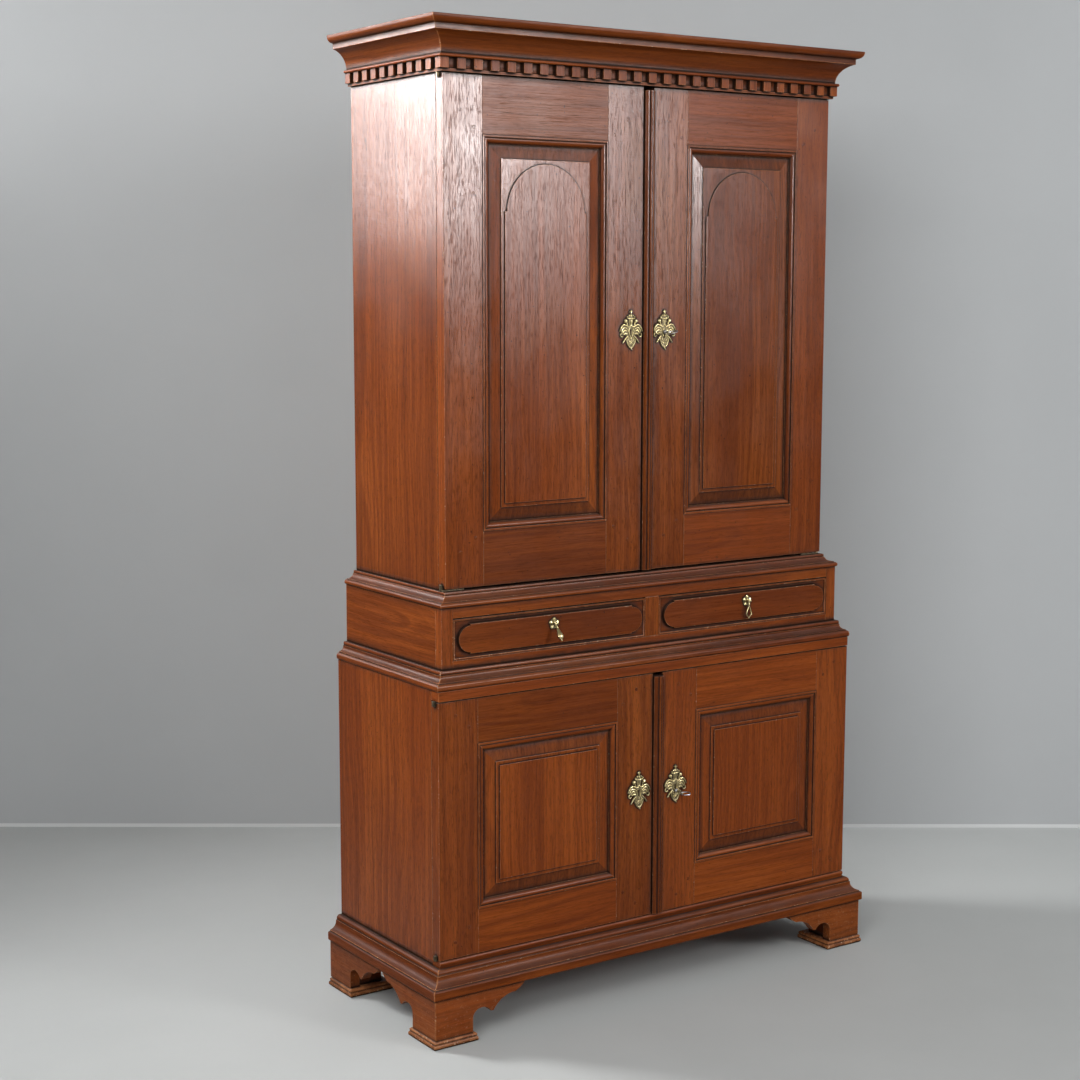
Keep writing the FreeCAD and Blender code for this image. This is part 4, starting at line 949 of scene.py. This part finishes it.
def wire(bm, path, sides, closed, normal):
    """A tube along a flat path of (place, half width, half thickness)."""
    count = len(path)
    rings = []
    for n, (place, half_width, half_thickness) in enumerate(path):
        before = path[(n - 1) % count][0] if closed or n else place
        after = path[(n + 1) % count][0] if closed or n < count - 1 else place
        tangent = (after - before).normalized()
        side = tangent.cross(normal).normalized()
        ring = []
        for k in range(sides):
            turn = 2 * math.pi * k / sides
            offset = side * half_width * math.cos(turn) + normal * half_thickness * math.sin(turn)
            ring.append(bm.verts.new((place + offset) * MM))
        rings.append(ring)
    skinned(bm, rings, closed)
    if not closed:
        capped(bm, rings)


PETALS = 5
ROSETTE_EXTENT = (-13.2, 13.2, -13.2, 13.2)
EAR_POINTS = 12
EAR_START, EAR_LENGTH = 3.4, 7.6
EAR_HALF_HEIGHT, EAR_HALF_THICKNESS = 3.0, 1.1
EAR_OFFSET = 3.3
EAR_ROUND_START = 0.62
PIN_LENGTH = 10.0
PIN = [(0, 1.2), (0.2, 1.6), (1.0, 1.6), (1.1, 1.0), (8.9, 1.0), (9.0, 1.6), (9.8, 1.6), (10.0, 1.2)]


def petal_strokes():
    """Five domed petals with a vein in each, round a boss."""
    strokes = []
    for n in range(PETALS):
        turn = 2 * math.pi * n / PETALS
        across, up = math.sin(turn), math.cos(turn)
        strokes.append(([(across * 5.2, up * 5.2, 3.0), (across * 8.8, up * 8.8, 3.9)], 2.3))
        strokes.append(([(across * 4.2, up * 4.2, 0.7), (across * 10.6, up * 10.6, 0.6)], 2.9))
    return strokes + [([(0, 0, 5.4)], 4.0)]


def no_hole(x, z):
    return np.full(np.shape(x), NOWHERE)


def petal_groove(x, z):
    """Hollows between the petals."""
    turn = np.arctan2(x, z)
    return 0.5 * np.clip(np.cos(PETALS * turn + math.pi) - 0.55, 0, 1) * (np.hypot(x, z) > 5)


def rosette(side, x):
    """A drawer's cast rosette, with the two ears and the pin that its drop hangs from."""
    z = PULL_PIVOT_Z
    name = side + "_pull_rosette_cast"
    web = [([(0, 0, 10.4)], 0.3)]
    cast = (ROSETTE_EXTENT, web, petal_strokes(), no_hole, (x, z), DRAWER_FIELD_Y, petal_groove)
    mesh = relief(name, *cast)
    bm = bmesh.new()
    bm.from_mesh(mesh)
    bpy.data.meshes.remove(mesh)
    for ear in (-1, 1):
        path = []
        for n in range(EAR_POINTS + 1):
            share = n / EAR_POINTS
            past = max(0.0, (share - EAR_ROUND_START) / (1 - EAR_ROUND_START))
            half = EAR_HALF_HEIGHT * math.sqrt(max(0.05, 1 - past**2))
            place = Vector((x + ear * EAR_OFFSET, DRAWER_FIELD_Y - EAR_START - EAR_LENGTH * share, z))
            path.append((place, half, EAR_HALF_THICKNESS))
        wire(bm, path, 14, False, Vector((1, 0, 0)))
    across = Matrix.Rotation(math.radians(90), 4, "Y")
    turned(bm, PIN, 16, moved_to(x - PIN_LENGTH / 2, PULL_PIVOT_Y, z) @ across)
    metal_piece(name, bm, brass, "aged_brass", side + "_drawer", side + "_pull_rosette")


EYE_POINTS = 20
EYE_RADIUS = 2.05


def eye(bm, x):
    """The ring of a drop that the pin passes through."""
    path = []
    for n in range(EYE_POINTS):
        turn = 2 * math.pi * n / EYE_POINTS
        y = PULL_PIVOT_Y + EYE_RADIUS * math.sin(turn)
        path.append((Vector((x, y, PULL_PIVOT_Z + EYE_RADIUS * math.cos(turn))), 0.75, 1.3))
    wire(bm, path, 10, True, Vector((1, 0, 0)))


def hanging(x):
    """The axis of a drop, from its pin straight down."""
    return moved_to(x, PULL_PIVOT_Y, PULL_PIVOT_Z) @ Matrix.Rotation(math.pi, 4, "X")


DROP_LEAN = math.radians(-35)
SOLID_DROP = [(2.5, 1.4), (4.0, 1.7), (6.0, 1.5), (7.2, 2.3), (8.0, 2.3), (8.8, 1.7), (12.0, 2.7)]
SOLID_DROP += [(17.0, 4.2), (22.0, 5.7), (26.0, 6.7), (28.6, 6.8), (31.0, 5.8), (33.4, 3.6)]
SOLID_DROP += [(34.6, 1.9), (35.2, 1.4), (35.8, 2.0), (36.8, 2.4), (37.8, 2.0), (38.6, 0.9)]
DROP_FLATTENING = 0.8


def solid_drop(x):
    """The pear-shaped drop, leaning out from its drawer as in the photograph."""
    bm = bmesh.new()
    eye(bm, x)
    turned(bm, SOLID_DROP, 8, hanging(x), DROP_FLATTENING)
    pivot = moved_to(x, PULL_PIVOT_Y, PULL_PIVOT_Z)
    lean = pivot @ Matrix.Rotation(DROP_LEAN, 4, "X") @ pivot.inverted()
    bmesh.ops.transform(bm, matrix=lean, verts=bm.verts[:])
    metal_piece("left_pull_drop_cast", bm, brass, "aged_brass", "left_drawer_pull", "left_pull_drop")


OPEN_DROP_NECK = [(2.5, 1.3), (5.0, 1.5), (7.0, 2.0), (9.5, 2.1), (12.0, 1.8), (13.5, 1.5)]
OPEN_DROP_FINIAL = [(34.2, 1.2), (35.2, 1.6), (36.8, 1.9), (38.0, 1.6), (38.7, 0.7)]
HALF_LOOP = [(0.0, -11.5), (1.6, -14.0), (3.4, -18.0), (5.2, -22.0), (6.6, -26.0)]
HALF_LOOP += [(6.4, -29.4), (4.6, -32.0), (2.2, -34.0), (0.0, -35.0)]
LOOP_HALF_WIDTH, LOOP_HALF_THICKNESS = 1.25, 1.9


def with_midpoints(loop):
    """The points of a closed loop, and between each two a point on a smooth curve."""
    points = []
    for n in range(len(loop)):
        a, b = loop[n], loop[(n + 1) % len(loop)]
        before, after = loop[n - 1], loop[(n + 2) % len(loop)]
        points += [a, (a + b) / 2 + ((b - before) - (after - a)) / 16]
    return points


def open_drop(x):
    """The drop that is pierced by a pear-shaped opening."""
    bm = bmesh.new()
    eye(bm, x)
    turned(bm, OPEN_DROP_NECK, 12, hanging(x), DROP_FLATTENING)
    turned(bm, OPEN_DROP_FINIAL, 12, hanging(x))
    loop = HALF_LOOP + [(-across, up) for across, up in HALF_LOOP[-2:0:-1]]
    path = []
    for spot in with_midpoints([Vector(point) for point in loop]):
        place = Vector((x + spot[0], PULL_PIVOT_Y, PULL_PIVOT_Z + spot[1]))
        path.append((place, LOOP_HALF_WIDTH, LOOP_HALF_THICKNESS))
    wire(bm, path, 10, True, Vector((0, 1, 0)))
    metal_piece("right_pull_drop_cast", bm, brass, "aged_brass", "right_drawer_pull", "right_pull_drop")


BOW_POINTS = 36
BOW_HALF_WIDTH, BOW_HALF_LENGTH = 9.6, 11.3
BOW_WIRE_HALF_WIDTH, BOW_WIRE_HALF_THICKNESS = 1.35, 1.15
BOW_CENTRE = 13.5
NECK_FROM_BOW = 10.8
COLLAR_START = 4.8
COLLAR = [(-0.3, 2.15), (0.0, 3.2), (0.8, 3.8), (1.7, 3.3), (2.0, 2.6), (2.3, 3.3), (3.2, 3.6)]
COLLAR += [(4.0, 2.9), (4.6, 2.2)]
DOOR_THICKNESS = 26.0
SHANK_BEHIND_DOOR = 14.0
BIT_BEHIND_DOOR = 1.7
BIT_HALF_THICKNESS = 1.1
BIT_STEPS = ((0.0, 2.2, 11.0), (2.2, 3.6, 7.4), (3.6, 6.0, 11.0))


def key_bow(bm, x, y, z, tilt):
    """The oval ring of a key, swollen at its outer end and at the shank."""
    path = []
    for n in range(BOW_POINTS):
        turn = 2 * math.pi * n / BOW_POINTS
        swell = 1.0 + 0.25 * math.sin(turn) ** 4
        across = BOW_HALF_WIDTH * math.cos(turn)
        along = BOW_HALF_LENGTH * math.sin(turn)
        place = Vector((x + across * math.cos(tilt), y - along, z + across * math.sin(tilt)))
        path.append((place, BOW_WIRE_HALF_WIDTH * swell, BOW_WIRE_HALF_THICKNESS))
    wire(bm, path, 10, True, Vector((-math.sin(tilt), 0, math.cos(tilt))))


def key(level, x, z, face_y, reach, tilt):
    """A key with an oval bow, a turned collar, a shank and a bit with a cut in it.
    It reaches this far out of the door's face."""
    bm = bmesh.new()
    bow_y = face_y - reach + BOW_CENTRE
    key_bow(bm, x, bow_y, z, tilt)
    door_back = face_y + DOOR_THICKNESS
    tip = door_back + SHANK_BEHIND_DOOR
    neck = bow_y + NECK_FROM_BOW
    out = face_y - COLLAR_START
    profile = [(tip, 1.2), (tip - 0.6, 2.1)]
    profile += [(out - along, radius) for along, radius in COLLAR]
    profile += [(neck + 1.0, 2.1), (neck, 2.3), (neck - 1.2, 1.8)]
    outward = moved_to(x, 0, z) @ Matrix.Rotation(math.radians(90), 4, "X")
    turned(bm, [(-y, radius) for y, radius in profile], 18, outward)
    for start, end, height in BIT_STEPS:
        near, far = door_back + BIT_BEHIND_DOOR + start, door_back + BIT_BEHIND_DOOR + end
        outline = [(x, near), (x + height, near), (x + height, far), (x, far)]
        rings = []
        for side in (-BIT_HALF_THICKNESS, BIT_HALF_THICKNESS):
            rings.append([bm.verts.new(Vector((cx, cy, z + side)) * MM) for cx, cy in outline])
        skinned(bm, rings)
        capped(bm, rings)
    metal_piece(level + "_key_forged", bm, iron, "iron", level + "_right_door_key", level + "_key")


rosette("left", -PULL_X)
rosette("right", PULL_X)
solid_drop(-PULL_X)
open_drop(PULL_X)
key("upper", UPPER_KEY_X, UPPER_KEY_Z, UPPER_FACE_Y, reach=44.0, tilt=math.radians(17))
key("lower", LOWER_KEY_X, LOWER_KEY_Z, LOWER_FACE_Y, reach=50.0, tilt=math.radians(4))


# ---- Drawbore pegs ----

PEG_SIDES = 9
PEG_PROFILE = ((-0.2, 3.7), (0.08, 3.6), (0.15, 3.0), (0.18, 1.6))
UNWORN, DARKEST = -2.0, 0.0


def pegs(door, places, face_y):
    """The ends of the pegs that lock the frame's joints, a little proud of the face."""
    bm = bmesh.new()
    for x, z in places:
        start = float(chance.uniform(0, 1))
        wobble = chance.uniform(0.88, 1.08, PEG_SIDES)
        out = moved_to(x, face_y, z) @ Matrix.Rotation(math.radians(90), 4, "X")
        rings = [ring_of(bm, out, rise, size * wobble, start=start) for rise, size in PEG_PROFILE]
        skinned(bm, rings)
        bm.faces.new(rings[-1])
    for face in bm.faces:
        face.smooth = True
    name = door + "_pegs"
    mesh = bpy.data.meshes.new(name)
    bm.to_mesh(mesh)
    bm.free()
    grain = mesh.attributes.new("woodco", "FLOAT_VECTOR", "POINT")
    spots = np.array([(v.co.x, v.co.z, v.co.y) for v in mesh.vertices], np.float32)
    grain.data.foreach_set("vector", spots.ravel())
    for attribute, value in (("edge", UNWORN), ("board", DARKEST), ("shine", UPRIGHT_SHINE)):
        one_value(mesh, attribute, value)
    mesh.materials.append(varnished)
    placed(name, mesh, door, "varnished_wood")


# Across and up, in millimetres, on the left doors. The right doors mirror them, a little shifted
UPPER_PEGS = [(-454, 1831), (-423, 1800), (-53, 1831), (-86, 1799)]
UPPER_PEGS += [(-47.6, 971), (-83.5, 1000), (-422, 1002), (-457, 975)]
LOWER_PEGS = [(-500, 660), (-468, 634), (-56, 661), (-90, 633)]
LOWER_PEGS += [(-502, 200), (-470, 226), (-55, 199), (-88, 228)]
UPPER_PEG_SHIFT, LOWER_PEG_SHIFT = 1.5, -1.0
pegs("upper_left_door", UPPER_PEGS, UPPER_FACE_Y)
pegs("upper_right_door", [(-x, z + UPPER_PEG_SHIFT) for x, z in UPPER_PEGS], UPPER_FACE_Y)
pegs("lower_left_door", LOWER_PEGS, LOWER_FACE_Y)
pegs("lower_right_door", [(-x, z + LOWER_PEG_SHIFT) for x, z in LOWER_PEGS], LOWER_FACE_Y)
bpy.data.objects.remove(scratch)


# ---- Camera, as fitted to the photograph ----

EYE = Vector((-2.4328, -3.3197, 1.4986))
YAW, PITCH, ROLL = math.radians(34.188), math.radians(-7.576), math.radians(0.054)
SENSOR_MM = 36.0
LENS_MM = 63.98
FARTHEST = 60.0

ahead = Vector((math.sin(YAW), math.cos(YAW), 0.0))
aside = Vector((math.cos(YAW), -math.sin(YAW), 0.0))


def photo_camera():
    forward = ahead * math.cos(PITCH) + Vector((0.0, 0.0, math.sin(PITCH)))
    upward = aside.cross(forward)
    right = math.cos(ROLL) * aside + math.sin(ROLL) * upward
    up = -math.sin(ROLL) * aside + math.cos(ROLL) * upward
    lens = bpy.data.cameras.new("camera")
    lens.sensor_width = SENSOR_MM
    lens.lens = LENS_MM
    lens.clip_end = FARTHEST
    camera = bpy.data.objects.new("camera", lens)
    camera.matrix_world = Matrix.Translation(EYE) @ Matrix((right, up, -forward)).transposed().to_4x4()
    bpy.context.scene.collection.objects.link(camera)
    bpy.context.scene.camera = camera


# ---- Floor and wall ----

WALL_DISTANCE = 5.20
WALL_HALF_WIDTH = 7.0
WALL_HEIGHT = 3.4
SKIRTING_HEIGHT = 0.010
SKIRTING_DEPTH = 0.004
FLOOR_HALF = 14
FLOOR_Z = -0.0004


def paint(name, colour, mottle, roughness, one_sided=True):
    """Matt paint, a little mottled. From behind, the one-sided kind is clear."""
    g = Graph(bpy.data.materials.new(name))
    place = g.object_place()
    cloud = g.noise(place, scale=1.3, detail=5.0, rough=0.6)
    speck = g.noise(place, scale=240.0)
    inputs = {
        "Base Color": g.brightened(colour, g.ramp(cloud, 0.3, 0.7, 1.0 - mottle, 1.0 + mottle)),
        "Roughness": roughness,
        "Normal": g.bump(speck, strength=0.05, distance=0.001),
        "Specular IOR Level": 0.04,
    }
    shader = g.principled(inputs)
    if one_sided:
        back = g.add("ShaderNodeNewGeometry").outputs["Backfacing"]
        clear = g.add("ShaderNodeBsdfTransparent").outputs[0]
        shader = g.add("ShaderNodeMixShader", {0: back, 1: shader, 2: clear}).outputs[0]
    return g.finish(shader)


def sheet(name, corners, material):
    mesh = bpy.data.meshes.new(name)
    mesh.from_pydata(corners, [], [list(range(len(corners)))])
    mesh.materials.append(material)
    piece = bpy.data.objects.new(name, mesh)
    bpy.context.scene.collection.objects.link(piece)


def standing_strip(name, foot, height, material):
    """An upright strip across the view, facing the camera."""
    left, right = foot - aside * WALL_HALF_WIDTH, foot + aside * WALL_HALF_WIDTH
    rise = Vector((0, 0, height))
    sheet(name, [left, right, right + rise, left + rise], material)


floor_paint = paint("floor_paint", rgb(0.415, 0.425, 0.42), 0.03, 0.6, one_sided=False)
wall_paint = paint("wall_paint", rgb(0.425, 0.436, 0.444), 0.02, 0.8)
skirting_paint = paint("skirting_paint", rgb(0.62, 0.63, 0.63), 0.02, 0.6)
corner_signs = ((-1, -1), (1, -1), (1, 1), (-1, 1))
sheet("floor", [(x * FLOOR_HALF, y * FLOOR_HALF, FLOOR_Z) for x, y in corner_signs], floor_paint)
wall_foot = Vector((EYE.x, EYE.y, 0.0)) + ahead * WALL_DISTANCE
standing_strip("wall", wall_foot, WALL_HEIGHT, wall_paint)
standing_strip("skirting", wall_foot - ahead * SKIRTING_DEPTH, SKIRTING_HEIGHT, skirting_paint)


# ---- Light ----


def soft_light(name, place, target, width, height, power, spread=180.0):
    """A rectangular lamp that faces a target, in metres, watts and degrees."""
    lamp = bpy.data.lights.new(name, "AREA")
    lamp.spread = math.radians(spread)
    lamp.shape = "RECTANGLE"
    lamp.size, lamp.size_y = width, height
    lamp.energy = power
    piece = bpy.data.objects.new(name, lamp)
    piece.location = place
    piece.rotation_mode = "QUATERNION"
    piece.rotation_quaternion = (Vector(target) - Vector(place)).to_track_quat("-Z", "Y")
    bpy.context.scene.collection.objects.link(piece)
    return piece


DOORS_CENTRE = (-0.2, 0.0, 1.6)
soft_light("key_light", (2.0, -4.4, 2.45), DOORS_CENTRE, 0.95, 1.10, 105.0)
soft_light("left_light", (-3.0, -2.6, 2.8), (0.0, 0.0, 1.0), 2.0, 1.6, 106.0)
back_light = soft_light("back_light", (-1.95, 2.40, 2.60), (-0.5, 0.0, 2.0), 1.10, 1.15, 100.0, spread=100.0)
back_light.visible_glossy = False

# Pale studio panels that only show as reflections in the varnish
for name, *light in (
    ("near_panel", (1.95, -4.38, 2.35), DOORS_CENTRE, 0.70, 0.90, 240.0),
    ("wide_panel", (2.65, -4.36, 2.15), DOORS_CENTRE, 1.30, 1.40, 135.0),
    ("front_panel", (-0.30, -4.40, 2.40), DOORS_CENTRE, 1.60, 1.40, 34.0),
    ("right_panel", (3.60, -1.50, 2.00), DOORS_CENTRE, 2.00, 2.00, 38.0),
    ("back_panel", (-1.95, 2.44, 2.66), (-0.5, 0.0, 2.2), 1.10, 0.80, 265.0),
    ("low_back_panel", (-1.95, 2.46, 2.30), (-0.5, 0.0, 1.8), 1.20, 1.20, 150.0),
):
    soft_light(name, *light).visible_diffuse = False

SKY_COLOUR = rgb(0.97, 0.99, 1.0)
LEVEL_LOW, LEVEL_HIGH = 0.09, 0.52
RISE_START, RISE_END = -0.05, 0.75


def studio_sky():
    """A dim surround that grows brighter from just below the horizon upwards."""
    world = bpy.data.worlds.new("studio")
    bpy.context.scene.world = world
    g = Graph(world)
    direction = g.add("ShaderNodeTexCoord").outputs["Generated"]
    upward = g.add("ShaderNodeSeparateXYZ", {0: direction}).outputs["Z"]
    level = g.ramp(upward, RISE_START, RISE_END, LEVEL_LOW, LEVEL_HIGH)
    sky = g.add("ShaderNodeBackground", {"Color": SKY_COLOUR, "Strength": level}).outputs[0]
    g.add("ShaderNodeOutputWorld", {"Surface": sky})


studio_sky()
photo_camera()
bpy.context.scene.view_settings.view_transform = "Standard"

bpy.context.view_layer.update()
